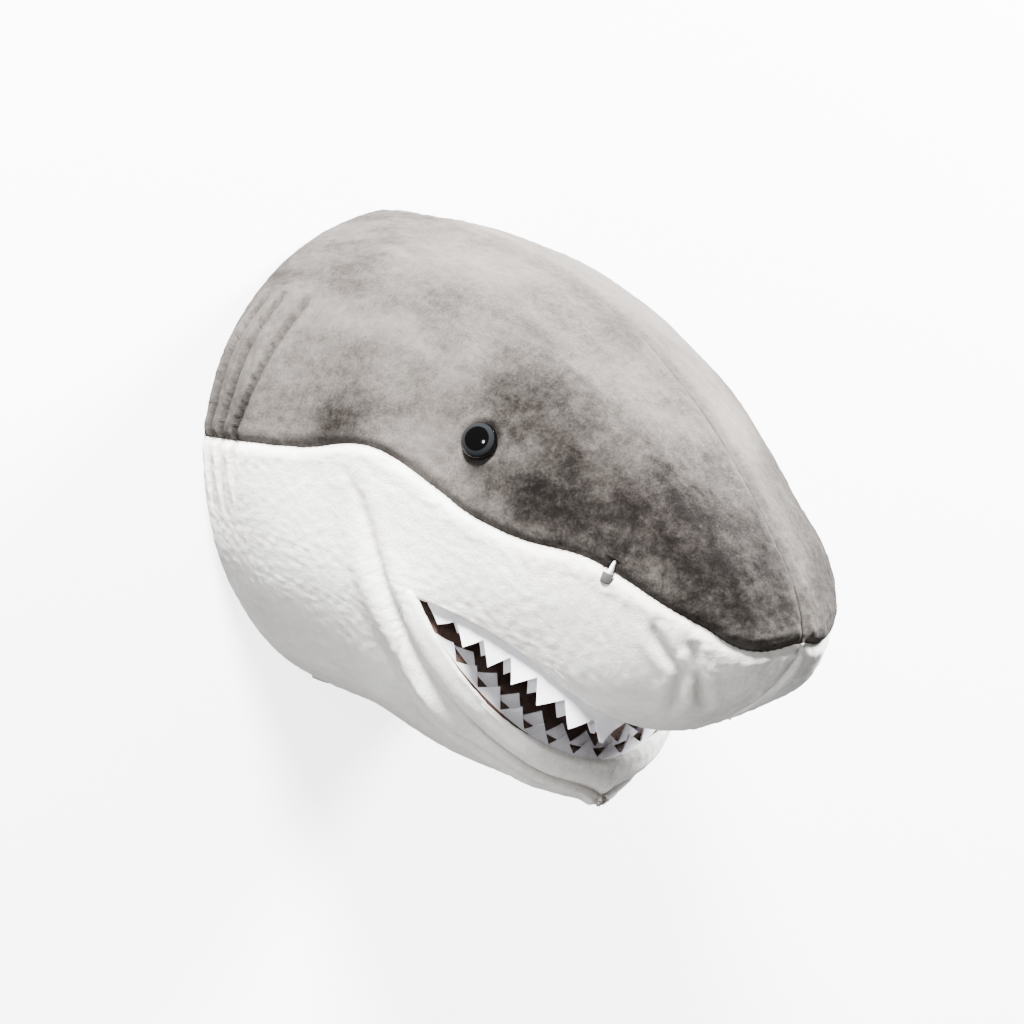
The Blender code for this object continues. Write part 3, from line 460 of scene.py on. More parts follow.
def lip_rows(edge, normals, radius, inwards):
    """Plush edge rolled into the mouth: half a circle from the outer face to the inner one,
    square to the lip, and then a flat hem along the inside."""
    run = unit(np.gradient(edge, axis=0))
    onward = unit(np.cross(run, normals)) * inwards
    turn = np.linspace(0, np.pi, 9)[None, :, None]
    roll = (edge[:, None] + onward[:, None] * radius * np.sin(turn)
            - normals[:, None] * radius * (1 - np.cos(turn)))
    hem = roll[:, -1:] - onward[:, None] * np.array(LIP_HEM)[None, :, None]
    return np.concatenate([roll, hem], axis=1)


def half_bow(count):
    """Bows from the mouth corner to the middle, closer together at the middle."""
    return np.sin(np.linspace(0, 1, count) * np.pi / 2) * np.pi / 2


def distances(line):
    """Distance of each point along a line."""
    return np.append(0, np.cumsum(np.linalg.norm(np.diff(line, axis=0), axis=1)))


def sample(marks, distance, values):
    """Vectors at some distances along a line, from the vectors at its points."""
    return np.stack([np.interp(marks, distance, values[:, k]) for k in range(3)], -1)


def quads(rows, columns, start):
    index = start + np.arange(rows * columns).reshape(rows, columns)
    return np.stack([index[:-1, :-1], index[1:, :-1], index[1:, 1:], index[:-1, 1:]],
                    -1).reshape(-1, 4)


def mesh_from_grids(name, grids, flip=False, weld=2e-5):
    """Mesh of one or more grids of points, welded where their edges meet. Faces point along
    the cross product of the grid's rows and columns, or the other way round with flip."""
    faces = []
    start = 0
    for grid in grids:
        faces.append(quads(*grid.shape[:2], start))
        start += grid.shape[0] * grid.shape[1]
    points = np.concatenate([grid.reshape(-1, 3) for grid in grids])
    faces = np.concatenate(faces)
    if flip:
        faces = faces[:, ::-1]
    mesh = bpy.data.meshes.new(name)
    mesh.from_pydata(points.tolist(), [], faces.tolist())
    shape = bmesh.new()
    shape.from_mesh(mesh)
    bmesh.ops.remove_doubles(shape, verts=shape.verts[:], dist=weld)
    bmesh.ops.dissolve_degenerate(shape, edges=shape.edges[:], dist=1e-6)
    shape.to_mesh(mesh)
    shape.free()
    mesh.shade_smooth()
    return mesh


def sided_mesh(name, grids, side):
    """Mesh of grids made for the +X side, turned over for the other side."""
    return mesh_from_grids(name, [grid * np.array([side, 1, 1]) for grid in grids], side < 0)


def read_points(mesh):
    """Points and outward normals of a mesh as arrays."""
    points = np.empty(len(mesh.vertices) * 3, np.float32)
    normals = np.empty(len(mesh.vertices) * 3, np.float32)
    mesh.vertices.foreach_get("co", points)
    mesh.vertex_normals.foreach_get("vector", normals)
    return points.reshape(-1, 3).astype(float), normals.reshape(-1, 3).astype(float)


def write_points(mesh, points):
    mesh.vertices.foreach_set("co", points.astype(np.float32).ravel())
    mesh.update()


def finish_piece(name, mesh, finish, nodes=(), sheet=0.0, offset=-1.0):
    """Object for a finished mesh on the head: its material, what it stands for, and for cloth
    the sheet's thickness and the side of the mesh it is thickened to."""
    thing = bpy.data.objects.new(name, mesh)
    bpy.context.scene.collection.objects.link(thing)
    mesh.materials.clear()
    mesh.materials.append(material(finish))
    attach(thing, "head")
    if nodes:
        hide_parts(*nodes)
    if sheet:
        wall = thing.modifiers.new("sheet", "SOLIDIFY")
        wall.thickness, wall.offset = sheet, offset


# ---------------------------------------------------------------- relief of sewn plush

def curve_on(surface, stations, side, count=90):
    """Smooth curve on the skin through a few (u, v) points, with the skin's normals."""
    steps = np.linspace(0, len(stations) - 1, count)
    u, v = (through(np.arange(len(stations)), [s[k] for s in stations], steps) for k in (0, 1))
    mirror = np.array([side, 1, 1])
    return surface(u, v) * mirror, normal_of(surface, u, v) * mirror


def offset_from(points, line, normals):
    """Signed distance in mm of each point from a line on the skin, and how far along the line
    its nearest place is, from 0 to 1. Positive is on the right of the line, seen from outside."""
    gap = (np.sum(points ** 2, 1)[:, None] + np.sum(line ** 2, 1)[None]
           - 2 * points @ line.T)
    nearest = gap.argmin(1)
    run = unit(np.gradient(line, axis=0))
    right = unit(np.cross(run, normals))
    offset = points - line[nearest]
    distance = np.linalg.norm(offset, axis=1)
    sign = np.sign(np.sum(offset * right[nearest], 1))
    return sign * distance / MM, nearest / (len(line) - 1)


def hump(x, centre, width):
    """Bell curve of height 1."""
    return np.exp(-((x - centre) / width) ** 2)


def ends(share, start, stop):
    """Fades from 0 to 1 over the first part of a line and back to 0 over the last part."""
    rise = np.clip(share / max(start, 1e-6), 0, 1)
    fall = np.clip((1 - share) / max(stop, 1e-6), 0, 1)
    return rise * rise * (3 - 2 * rise) * fall * fall * (3 - 2 * fall)


def waves(points, wavelength, count, seed):
    """Smooth noise between about -1 and 1: a sum of plane waves in random directions."""
    random = np.random.default_rng(seed)
    direction = unit(random.normal(size=(count, 3)))
    number = 2 * np.pi / (wavelength * random.uniform(0.7, 1.5, count))
    phase = random.uniform(0, 2 * np.pi, count)
    return np.sin(points @ (direction * number[:, None]).T + phase).sum(1) / np.sqrt(count)


def seam_lines(side):
    """Lines along which the panels of one side are sewn, each with the skin's normals."""
    t = head_columns(RIM_STATION, 0.9995, 260)
    bow = np.linspace(0, np.pi / 2, 160)
    mirror = np.array([side, 1, 1])
    zero = np.zeros_like(t)
    front = np.linspace(UPPER_LIP_FRONT, 0.9995, 90)
    neck = np.linspace(RIM_STATION, MOUTH_CORNER, 90)
    chin = np.linspace(0, 1, 60)
    middle = np.array([0.0, 1, 1])

    def line(surface, u, v, flat=mirror):
        return surface(u, v) * flat, normal_of(surface, u, v) * mirror

    return {
        "crown": (skin(t, zero) * middle, np.tile([side, 0.0, 0.0], (len(t), 1))),
        "flank": line(skin, t, seam(t)),
        "chin": line(jaw, np.full_like(chin, np.pi / 2), chin, middle),
        "throat": (np.concatenate([skin(neck, np.full_like(neck, 2.0)),
                                   jaw(bow, np.ones_like(bow))]) * middle,
                   np.tile([side, 0.0, 0.0], (len(neck) + len(bow), 1))),
        "under_snout": (skin(front, np.full_like(front, 2.0)) * middle,
                        np.tile([side, 0.0, 0.0], (len(front), 1))),
    }


def band_line(side):
    """Line of the cheek fold running on into the seam under the lower lip."""
    cheek, cheek_normals = curve_on(skin, CHEEK_FOLD, side, 60)
    bow = np.linspace(LIP_SEAM_START, np.pi / 2, 110)
    mirror = np.array([side, 1, 1])
    line = np.concatenate([cheek, jaw(bow, band_edge(bow)) * mirror])
    normals = np.concatenate([cheek_normals, normal_of(jaw, bow, band_edge(bow)) * mirror])
    a, b = JOINED_POINTS
    for _ in range(EVENINGS):
        line[a:b] = (line[a - 1:b - 1] + line[a + 1:b + 1]) / 2
    return line, normals


def relief(points, side, sizes, seams):
    """Height in metres by which stuffing, seams, tucks and folds move the plush skin, and how
    much painted shade each point gets, from 0 to 1: darkening put in the seams, gill tucks,
    folds and nostril and under the lid above the eye, where shade falls. Each seam and fold is
    a bell-shaped groove along a line, with soft swells beside it. hump(d, place, width) is such
    a bell: its place is measured from the line and its width is its half width, both in mm."""
    lines = seam_lines(side)
    seam_w = sizes.seam_width / MM
    height = waves(points, 0.075, 26, 4) * sizes.stuffing_lumps / MM
    # Painted shade: darkening gathered here for the seams, tucks, folds and nostril and under the
    # lid above the eye, where shade falls.
    crease_shade = np.zeros(len(points))
    for name in seams:
        d, _ = offset_from(points, *lines[name])
        pucker = 1 + 0.35 * waves(points, 0.011, 12, 31)
        height -= sizes.seam_depth / MM * hump(d, 0, seam_w)
        height += 0.7 * pucker * hump(np.abs(d), 2.4 * seam_w, 1.7 * seam_w)
        crease_shade += 0.55 * np.clip(0.6 + 0.5 * pucker, 0, 1) * hump(d, 0, 1.1)

    lift = sizes.tuck_height / MM
    for tuck in GILL_TUCKS:
        d, share = offset_from(points, *curve_on(skin, tuck, side))
        d = d * side
        fade = ends(share, 0.16, 0.42)
        fall = 1 / (1 + np.exp(-d / 0.40))
        height += fade * lift * np.exp(np.minimum(d, 0) / 7.5) * (1 - fall)
        height -= fade * 0.8 * lift * hump(np.maximum(d, 0), 0.5, 2.6) * fall
        crease_shade += (0.25 + 0.75 * share) * fade * hump(d, 0.9, 1.1)

    d, share = offset_from(points, *band_line(side))
    d = d * -side
    fade = ends(share, 0.34, 0.001)
    corner = skin(MOUTH_CORNER, CORNER_PLACE)[1]
    behind = np.clip((points[:, 1] - corner) / MM / 8 + 1, 0, 1) if seams else 1.0
    swell = np.where(d > 3, behind, 1.0) * fade ** 2 * sizes.lip_swell / MM
    height += swell * hump(d, 11.0, 8.0) + fade * 2.2 * hump(d, -9.0, 7.0)
    height -= fade * sizes.cheek_depth / MM * hump(d, 0, 3.4)
    crease_shade += 0.75 * fade * hump(d, 0, 1.5)

    for fold in SNOUT_FOLDS:
        d, share = offset_from(points, *curve_on(skin, fold, side))
        fade = ends(share, 0.35, 0.4)
        height -= fade * 3.0 * hump(d, 0, 3.0)
        height += fade * 1.2 * (hump(d, 8.0, 4.5) + hump(d, -8.0, 4.5))
        crease_shade += 0.45 * fade * hump(d, 0, 2.4)
    d, share = offset_from(points, *curve_on(jaw, THROAT_FOLD, side))
    fade = ends(share, 0.3, 0.3)
    height -= fade * (2.6 * hump(d, 0, 3.2) - 1.4 * hump(np.abs(d), 8.0, 5.0))
    crease_shade += 0.3 * fade * hump(d, 0, 2.0)
    d, share = offset_from(points, *curve_on(skin, NOSTRIL, side))
    height -= ends(share, 0.05, 0.10) * 2.4 * hump(d, 0, 3.6)
    crease_shade += 0.9 * ends(share, 0.30, 0.05) * hump(d, 0, 2.2)

    away = points - skin(*EYE_PLACE) * np.array([side, 1, 1])
    d = np.linalg.norm(away, axis=1) / MM
    brow = 0.5 + 0.5 * (away[:, 2] / MM - away[:, 1] / MM) / np.maximum(d, 1) / np.sqrt(2)
    brow = np.clip(brow, 0, 1)
    height -= sizes.eye_pull / MM * hump(d, 0, 26.0) - 0.4 * hump(d, 0, 11.0)
    height += (1.1 + 2.2 * brow) * hump(d, 14.0, 3.4)
    # Painted shadow of the lid: darkening round the eye, strongest above it and towards the nose.
    crease_shade += brow ** 2 * hump(d, 11.5, 2.4)

    height = np.where(height < 0, -DEEPEST * np.tanh(-height / DEEPEST), height)
    height *= np.clip((-points[:, 1] / MM - RIM_BACK) / RIM_FADE, 0.12, 1)
    height += waves(points, 0.0062, 70, 12) * sizes.pile_clumps / MM
    return height * MM, np.clip(crease_shade, 0, 1)


def raise_relief(mesh, side, sizes, seams):
    points, normals = read_points(mesh)
    height, crease_shade = relief(points, side, sizes, seams)
    moved = points + normals * height[:, None]
    moved[:, 1] = np.minimum(moved[:, 1], -WALL_GAP)
    write_points(mesh, moved)
    # Painted shade of the creases, then the pile's nap with painted sheen, light and shade.
    paint(mesh, "crease_shade", crease_shade)
    paint_nap_and_light(mesh, points, side)


def paint_nap_and_light(mesh, points, side):
    """Writes the attribute of the pile's nap and painted light: a sum of soft round patches that
    are lighter or darker, partly the pile's patchy nap and partly painted sheen and shade. The
    whole left panel is painted lighter, as light falls on it."""
    nap = np.full(len(points), LEFT_PAINTED_LIGHT * (side > 0))
    for t, q, radius, strength in NAP_AND_LIGHT_PATCHES:
        centre = skin(t, q) * np.array([side, 1, 1])
        nap += strength * hump(np.linalg.norm(points - centre, axis=1) / MM, 0, radius)
    paint(mesh, "nap", nap)


def paint(mesh, name, values):
    """Writes one value for each point, for a material to read."""
    painted = mesh.attributes.new(name, "FLOAT", "POINT")
    painted.data.foreach_set("value", np.asarray(values, np.float32))


# ---------------------------------------------------------------- materials

def add(tree, kind, inputs=None, **settings):
    """One shader node, its settings, and its inputs as values or as sockets to link from."""
    node = tree.nodes.new("ShaderNode" + kind)
    for name, value in settings.items():
        setattr(node, name, value)
    for name, value in (inputs or {}).items():
        socket = node.inputs[name]
        if isinstance(value, bpy.types.NodeSocket):
            tree.links.new(value, socket)
        else:
            socket.default_value = value
    return node


def new_material(name):
    """Empty node material, its tree and its Object coordinates."""
    made = bpy.data.materials.new(name)
    made.use_nodes = True
    tree = made.node_tree
    tree.nodes.clear()
    return made, tree, add(tree, "TexCoord").outputs["Object"]


def finish_material(made, inputs):
    """Ends a material with a Principled shader that has these inputs."""
    shader = add(made.node_tree, "BsdfPrincipled", inputs)
    add(made.node_tree, "OutputMaterial", {"Surface": shader.outputs["BSDF"]})
    return made


def rgba(tone):
    """Linear colour and alpha, from a hex colour or the name of a colour setting."""
    three = linear(tone) if tone[0] == "#" else getattr(bpy.context.scene.head_colours, tone)
    return (*three, 1.0)


def plush(name, dark, light, crease_shade_colour, contrast, sheen):
    """Knitted polyester plush with a short brushed pile. Its tone lies in patches, 2 to 6 cm
    wide, that look lighter or darker: random tone from noise, and an attribute that holds the
    pile's patchy nap with painted sheen and shade and a painted lighter left panel. Streaks of
    about 8 mm, clumps of 5 mm and tufts of 1.5 mm lie on top. In creases, tucks and folds and
    under the eye's lid the pile takes a darker colour: painted shade."""
    made, tree, place_on = new_material(name)
    along = add(tree, "Mapping", {"Vector": place_on, "Rotation": (0.35, 0.5, 0.3),
                                  "Scale": (1.0, 0.45, 0.8)}).outputs["Vector"]
    # Painted light and shade: this attribute is the pile's patchy nap plus painted sheen and shade
    # and a painted lighter left panel.
    value = add(tree, "Attribute", attribute_name="nap").outputs["Fac"]
    for vector, size, detail, roughness, swirl, share, strength, bump in (
            (along, 0.036, 2.0, 0.5, 0.5, 0.34, 0.0, 0.0),
            (along, 0.0095, 3.0, 0.6, 0.4, 0.22, 0.0, 0.0),
            (place_on, 0.0048, 3.0, 0.6, 0.0, 0.18, 0.30, 0.0014),
            (place_on, 0.0016, 4.0, 0.75, 0.0, 0.26, 0.60, 0.0010)):
        layer = add(tree, "TexNoise", {
            "Vector": vector, "Scale": 1 / size, "Detail": detail, "Roughness": roughness,
            "Distortion": swirl}).outputs["Fac"]
        value = add(tree, "Math", {0: layer, 1: share, 2: value},
                    operation="MULTIPLY_ADD").outputs[0]
        if bump:
            below = {"Normal": raised.outputs["Normal"]} if size < 0.002 else {}
            raised = add(tree, "Bump", {"Height": layer, "Strength": strength,
                                        "Distance": bump, **below})
    ramp = add(tree, "MapRange", {"Value": value, "From Min": 0.5 - contrast,
                                  "From Max": 0.5 + contrast},
               interpolation_type="SMOOTHSTEP")
    tone = add(tree, "Mix", {0: ramp.outputs["Result"], 6: rgba(dark), 7: rgba(light)},
               data_type="RGBA")
    # Painted shade: in creases, tucks and folds and under the eye's lid the pile turns darker,
    # where shade falls.
    crease_shade = add(tree, "Attribute", attribute_name="crease_shade").outputs["Fac"]
    toned = add(tree, "Mix", {0: crease_shade, 6: tone.outputs[2], 7: rgba(crease_shade_colour)},
                data_type="RGBA")
    return finish_material(made, {
        "Base Color": toned.outputs[2], "Normal": raised.outputs["Normal"], "Roughness": 0.95,
        "Specular IOR Level": 0.15, "Sheen Weight": sheen, "Sheen Roughness": 0.45,
        "Sheen Tint": rgba(light)})


def cloth(name, tone, darker, grain, bump):
    """Felt or short-nap cloth: matted fibres give a fine mottle and a soft uneven face."""
    made, tree, place_on = new_material(name)
    cloud, fibre = (
        add(tree, "TexNoise", {
            "Vector": place_on, "Scale": 1 / size, "Detail": detail, "Roughness": roughness,
            "Distortion": swirl}).outputs["Fac"]
        for size, detail, roughness, swirl in ((grain * 12, 2.0, 0.5, 0.0),
                                               (grain, 4.0, 0.7, 0.8)))
    both = add(tree, "Math", {0: cloud, 1: fibre}, operation="MULTIPLY")
    reach = add(tree, "MapRange", {"Value": both.outputs[0], "From Min": 0.12,
                                   "From Max": 0.36})
    mixed = add(tree, "Mix", {0: reach.outputs["Result"], 6: rgba(darker),
                              7: rgba(tone)}, data_type="RGBA")
    raised = add(tree, "Bump", {"Height": fibre, "Strength": bump, "Distance": grain * 0.5})
    return finish_material(made, {
        "Base Color": mixed.outputs[2], "Normal": raised.outputs["Normal"], "Roughness": 0.95,
        "Specular IOR Level": 0.15, "Sheen Weight": 0.15, "Sheen Roughness": 0.5})


def eye_acrylic(name):
    """Moulded acrylic eye, colour painted behind a clear polished dome: a nearly black pupil,
    a dark grey iris and a black rim. The ring attribute is 0 in the middle and 1 at the rim."""
    made, tree, place_on = new_material(name)
    ring = add(tree, "Attribute", attribute_name="ring").outputs["Fac"]
    speck = add(tree, "TexNoise", {"Vector": place_on, "Scale": 1 / 0.0011, "Detail": 2.0})
    varied = add(tree, "Math", {0: speck.outputs["Fac"], 1: 0.03, 2: ring},
                 operation="MULTIPLY_ADD")
    ramp = add(tree, "ValToRGB", {"Fac": varied.outputs[0]})
    stops = ramp.color_ramp.elements
    stops[0].position, stops[0].color = 0.66, rgba("pupil")
    stops[1].position, stops[1].color = 0.70, rgba("iris")
    for position, tone in ((0.90, "iris"), (0.93, "pupil")):
        stops.new(position).color = rgba(tone)
    return finish_material(made, {"Base Color": ramp.outputs["Color"], "Roughness": 0.09,
                                  "IOR": 1.49})


def fibreboard(name):
    """Raw fibreboard: pressed wood fibre, with dark and pale flecks about a millimetre long."""
    made, tree, place_on = new_material(name)
    fleck, cloud = (
        add(tree, "TexNoise", {"Vector": place_on, "Scale": 1 / size, "Detail": detail,
                               "Roughness": roughness}).outputs["Fac"]
        for size, detail, roughness in ((0.0012, 4.0, 0.7), (0.020, 2.0, 0.5)))
    value = add(tree, "Math", {0: fleck, 1: cloud}, operation="MULTIPLY")
    ramp = add(tree, "MapRange", {"Value": value.outputs[0], "From Min": 0.10,
                                  "From Max": 0.40, "To Min": 0.72, "To Max": 1.12})
    toned = add(tree, "Mix", {0: 1.0, 6: rgba("board"), 7: ramp.outputs["Result"]},
                data_type="RGBA", blend_type="MULTIPLY")
    raised = add(tree, "Bump", {"Height": fleck, "Strength": 0.25, "Distance": 0.0004})
    return finish_material(made, {"Base Color": toned.outputs[2], "Roughness": 0.75,
                                  "Normal": raised.outputs["Normal"]})


def plated_steel(name):
    """Zinc-plated pressed steel: dull and slightly cloudy, in clouds of about 4 mm."""
    made, tree, place_on = new_material(name)
    cloud = add(tree, "TexNoise", {"Vector": place_on, "Scale": 1 / 0.004,
                                   "Detail": 3.0, "Roughness": 0.6}).outputs["Fac"]
    ramp = add(tree, "MapRange", {"Value": cloud, "To Min": 0.22, "To Max": 0.5})
    tone = add(tree, "Mix", {0: cloud, 6: rgba("#A9AAAC"), 7: rgba("#C9CACB")},
               data_type="RGBA")
    return finish_material(made, {"Base Color": tone.outputs[2], "Metallic": 1.0,
                                  "Roughness": ramp.outputs["Result"]})


def polyethylene(name):
    """Injection-moulded polyethylene, milky and slightly rough."""
    made, tree, place_on = new_material(name)
    grain = add(tree, "TexNoise", {"Vector": place_on, "Scale": 1 / 0.0008,
                                   "Detail": 2.0}).outputs["Fac"]
    tone = add(tree, "Mix", {0: grain, 6: rgba("#D5D3CC"), 7: rgba("#E6E4DE")},
               data_type="RGBA")
    return finish_material(made, {"Base Color": tone.outputs[2], "Roughness": 0.45})


def wall_paint(name):
    """Matt emulsion paint with the faint orange peel of a roller, about 2 mm across. The wall
    and floor are clear from behind, so that the back of the head can be seen."""
    made, tree, place_on = new_material(name)
    peel = add(tree, "TexNoise", {"Vector": place_on, "Scale": 1 / 0.002,
                                  "Detail": 2.0}).outputs["Fac"]
    raised = add(tree, "Bump", {"Height": peel, "Strength": 0.03, "Distance": 0.0002})
    shader = add(tree, "BsdfPrincipled", {
        "Normal": raised.outputs["Normal"], "Base Color": rgba("wall"), "Roughness": 0.9,
        "Emission Color": rgba("#FFFFFF"), "Emission Strength": WALL_GLOW})
    facing = add(tree, "NewGeometry").outputs["Backfacing"]
    clear = add(tree, "BsdfTransparent").outputs["BSDF"]
    seen = add(tree, "MixShader", {0: facing, 1: shader.outputs["BSDF"], 2: clear})
    add(tree, "OutputMaterial", {"Surface": seen.outputs["Shader"]})
    return made


# Materials by name, each with the function that makes it. Plush: pile lying away and towards the
# light, colour of the painted shade in creases, contrast and sheen. Cloth: colour, shaded
# fibres, grain in metres and strength of its bumps.
MATERIALS = {
    "brushed_grey_plush": (plush, "grey_dark", "grey_light", "#0C0B0A", 0.29, 0.10),
    "brushed_white_plush": (plush, "white_shade", "white_light", "#8D857D", 0.26, 0.15),
    "brown_short_nap_cloth": (cloth, "lining", "#45332D", 0.0014, 0.5),
    "die_cut_white_felt": (cloth, "felt_white", "#DDDBE2", 0.0009, 0.3),
    "dark_grey_felt": (cloth, "felt_grey", "#2F2D2D", 0.0010, 0.4),
    "spun_polyester_thread": (cloth, "thread_grey", "#262321", 0.0004, 0.4),
    "moulded_acrylic_eye": (eye_acrylic,),
    "raw_fibreboard": (fibreboard,),
    "zinc_plated_steel": (plated_steel,),
    "moulded_polyethylene": (polyethylene,),
    "matt_emulsion_paint": (wall_paint,),
}


def material(name):
    """A material by name, made for the first piece that asks for it."""
    make, *values = MATERIALS[name]
    return bpy.data.materials.get(name) or make(name, *values)


# ---------------------------------------------------------------- operators

class HEAD_OT_crown(bpy.types.Operator):
    """Sews the two grey crown panels, from the wall to the nose"""
    bl_idname = "plush_head.crown"
    bl_label = "Grey crown panels"

    def execute(self, context):
        sizes = context.scene.plush_sizes
        t = np.append(np.linspace(RIM_STATION, TUCKS_END, 62),
                      head_columns(TUCKS_END, 1.0, 200)[1:])
        q = between(np.zeros_like(t), seam(t), crowded(140) ** (1 / CROWN_FULLNESS))
        outer = skin(spread(t, q), q)
        outer[:, 0, 0] = 0
        grid = np.concatenate([rim_rows(q[0]), outer])
        for (hand, side), stuffing in zip(SIDES, ("neck_fill", "snout_fill")):
            mesh = sided_mesh(f"crown_{hand}", [grid], side)
            raise_relief(mesh, side, sizes, ("crown", "flank"))
            finish_piece(f"crown_{hand}", mesh, "brushed_grey_plush",
                         (f"crown_panel_{hand}", stuffing), sizes.sheet)
        return {"FINISHED"}


class HEAD_OT_flanks(bpy.types.Operator):
    """Sews the two white sides: neck, snout above the mouth and throat below it"""
    bl_idname = "plush_head.flanks"
    bl_label = "White side panels"

    def execute(self, context):
        sizes = context.scene.plush_sizes
        above, band, below = crowded(64), np.linspace(0, 1, 14), crowded(88)
        neck_t = np.append(np.linspace(RIM_STATION, TUCKS_END, 56),
                           np.linspace(TUCKS_END, MOUTH_CORNER, 66)[1:])
        ones = np.ones_like(neck_t)
        lip_place = jaw_section(0.0)[3]
        band_q = float(lip_place + (2 - lip_place) * band_edge(0.0))
        edges = [seam(neck_t), ones * CORNER_PLACE, ones * band_q, ones * 2.0]
        q = np.concatenate([between(edges[0], edges[1], above)[:, :-1],
                            between(edges[1], edges[2], band)[:, :-1],
                            between(edges[2], edges[3], below)], axis=1)
        neck = np.concatenate([rim_rows(q[0]), skin(spread(neck_t, q), q)])

        snout_t = np.concatenate([head_columns(MOUTH_CORNER, UPPER_LIP_FRONT, 90),
                                  head_columns(UPPER_LIP_FRONT, 1.0, 64)[1:]])
        snout_q = between(seam(snout_t), upper_lip(snout_t), above)
        snout = skin(spread(snout_t, snout_q), snout_q)
        snout[0] = neck[-1, :len(above)]
        lip_t = snout_t[snout_t <= UPPER_LIP_FRONT]
        lip = lip_rows(snout[:len(lip_t), -1], normal_of(skin, lip_t, upper_lip(lip_t)),
                       sizes.lip_roll, -1.0)

        bow = half_bow(84)
        r = between(band_edge(bow), np.ones_like(bow), below)
        throat = jaw(spread(bow, r), r)
        throat[0] = neck[-1, len(above) + len(band) - 2:]
        grids = [neck, snout, lip, throat]
        for grid in grids:
            grid[..., 0] = np.maximum(grid[..., 0], 0)
        for hand, side in SIDES:
            mesh = sided_mesh(f"flank_{hand}", grids, side)
            raise_relief(mesh, side, sizes, ("flank", "throat", "under_snout", "chin"))
            finish_piece(f"flank_{hand}", mesh, "brushed_white_plush",
                         (f"side_panel_{hand}",), sizes.sheet)
        return {"FINISHED"}


class HEAD_OT_lip(bpy.types.Operator):
    """Sews the stuffed band of the lower lip, from corner to corner"""
    bl_idname = "plush_head.lip"
    bl_label = "Lower lip band"

    def execute(self, context):
        sizes = context.scene.plush_sizes
        half = half_bow(84)
        r = between(np.zeros_like(half), band_edge(half), np.linspace(0, 1, 20))
        band = jaw(spread(half, r), r)
        lip = lip_rows(band[:, 0], normal_of(jaw, half, np.full_like(half, 0.002)),
                       sizes.lip_roll, 1.0)
        strip = np.concatenate([lip[:, ::-1], band[:, 1:]], axis=1)
        strip[-1, :, 0] = 0
        shape = bmesh.new()
        for _, side in SIDES:
            mesh = sided_mesh("lower_lip", [strip], side)
            raise_relief(mesh, side, sizes, ())
            shape.from_mesh(mesh)
        bmesh.ops.remove_doubles(shape, verts=shape.verts[:], dist=MIDDLE_WELD)
        shape.to_mesh(mesh)
        shape.free()
        finish_piece("lower_lip", mesh, "brushed_white_plush",
                     ("lower_lip_band", "jaw_fill"), sizes.sheet)
        return {"FINISHED"}


class HEAD_OT_linings(bpy.types.Operator):
    """Lays the dark linings over the roof and the floor of the mouth"""
    bl_idname = "plush_head.linings"
    bl_label = "Mouth linings"

    def execute(self, context):
        share = np.linspace(-0.985, 0.985, 90)
        for name, node, surface, along, ruck_width, ruck_height, seed in (
                ("mouth_roof", "mouth_lining_upper", palate,
                 np.linspace(MOUTH_CORNER, UPPER_LIP_FRONT, 70), 0.034, 0.0008, 9),
                ("mouth_floor", "mouth_lining_lower", mouth_floor,
                 np.linspace(0.02, np.pi / 2, 60), 0.030, 0.0006, 8)):
            grid = surface(*np.meshgrid(along, share, indexing="ij"), 0.9)
            rucks = waves(grid.reshape(-1, 3), ruck_width, 14, seed).reshape(grid.shape[:2])
            grid[..., 2] += rucks * ruck_height
            mesh = mesh_from_grids(name, [grid], flip=name == "mouth_floor")
            finish_piece(name, mesh, "brown_short_nap_cloth", (node,),
                         LINING_SHEET)
        return {"FINISHED"}


class HEAD_OT_teeth(bpy.types.Operator):
    """Cuts the four strips of felt teeth and stands them inside the lips"""
    bl_idname = "plush_head.teeth"
    bl_label = "Felt teeth"

    def execute(self, context):
        sizes = context.scene.fitting_sizes
        for number, (node, upper, *row) in enumerate(TEETH_ROWS):
            grid = teeth_grid(sizes, number, upper, *row)
            mesh = mesh_from_grids(node, [grid], flip=upper)
            mesh.shade_flat()
            finish_piece(f"teeth_{node.replace('_teeth', '')}", mesh, "die_cut_white_felt",
                         (node,), sizes.felt, offset=0.0)
        return {"FINISHED"}


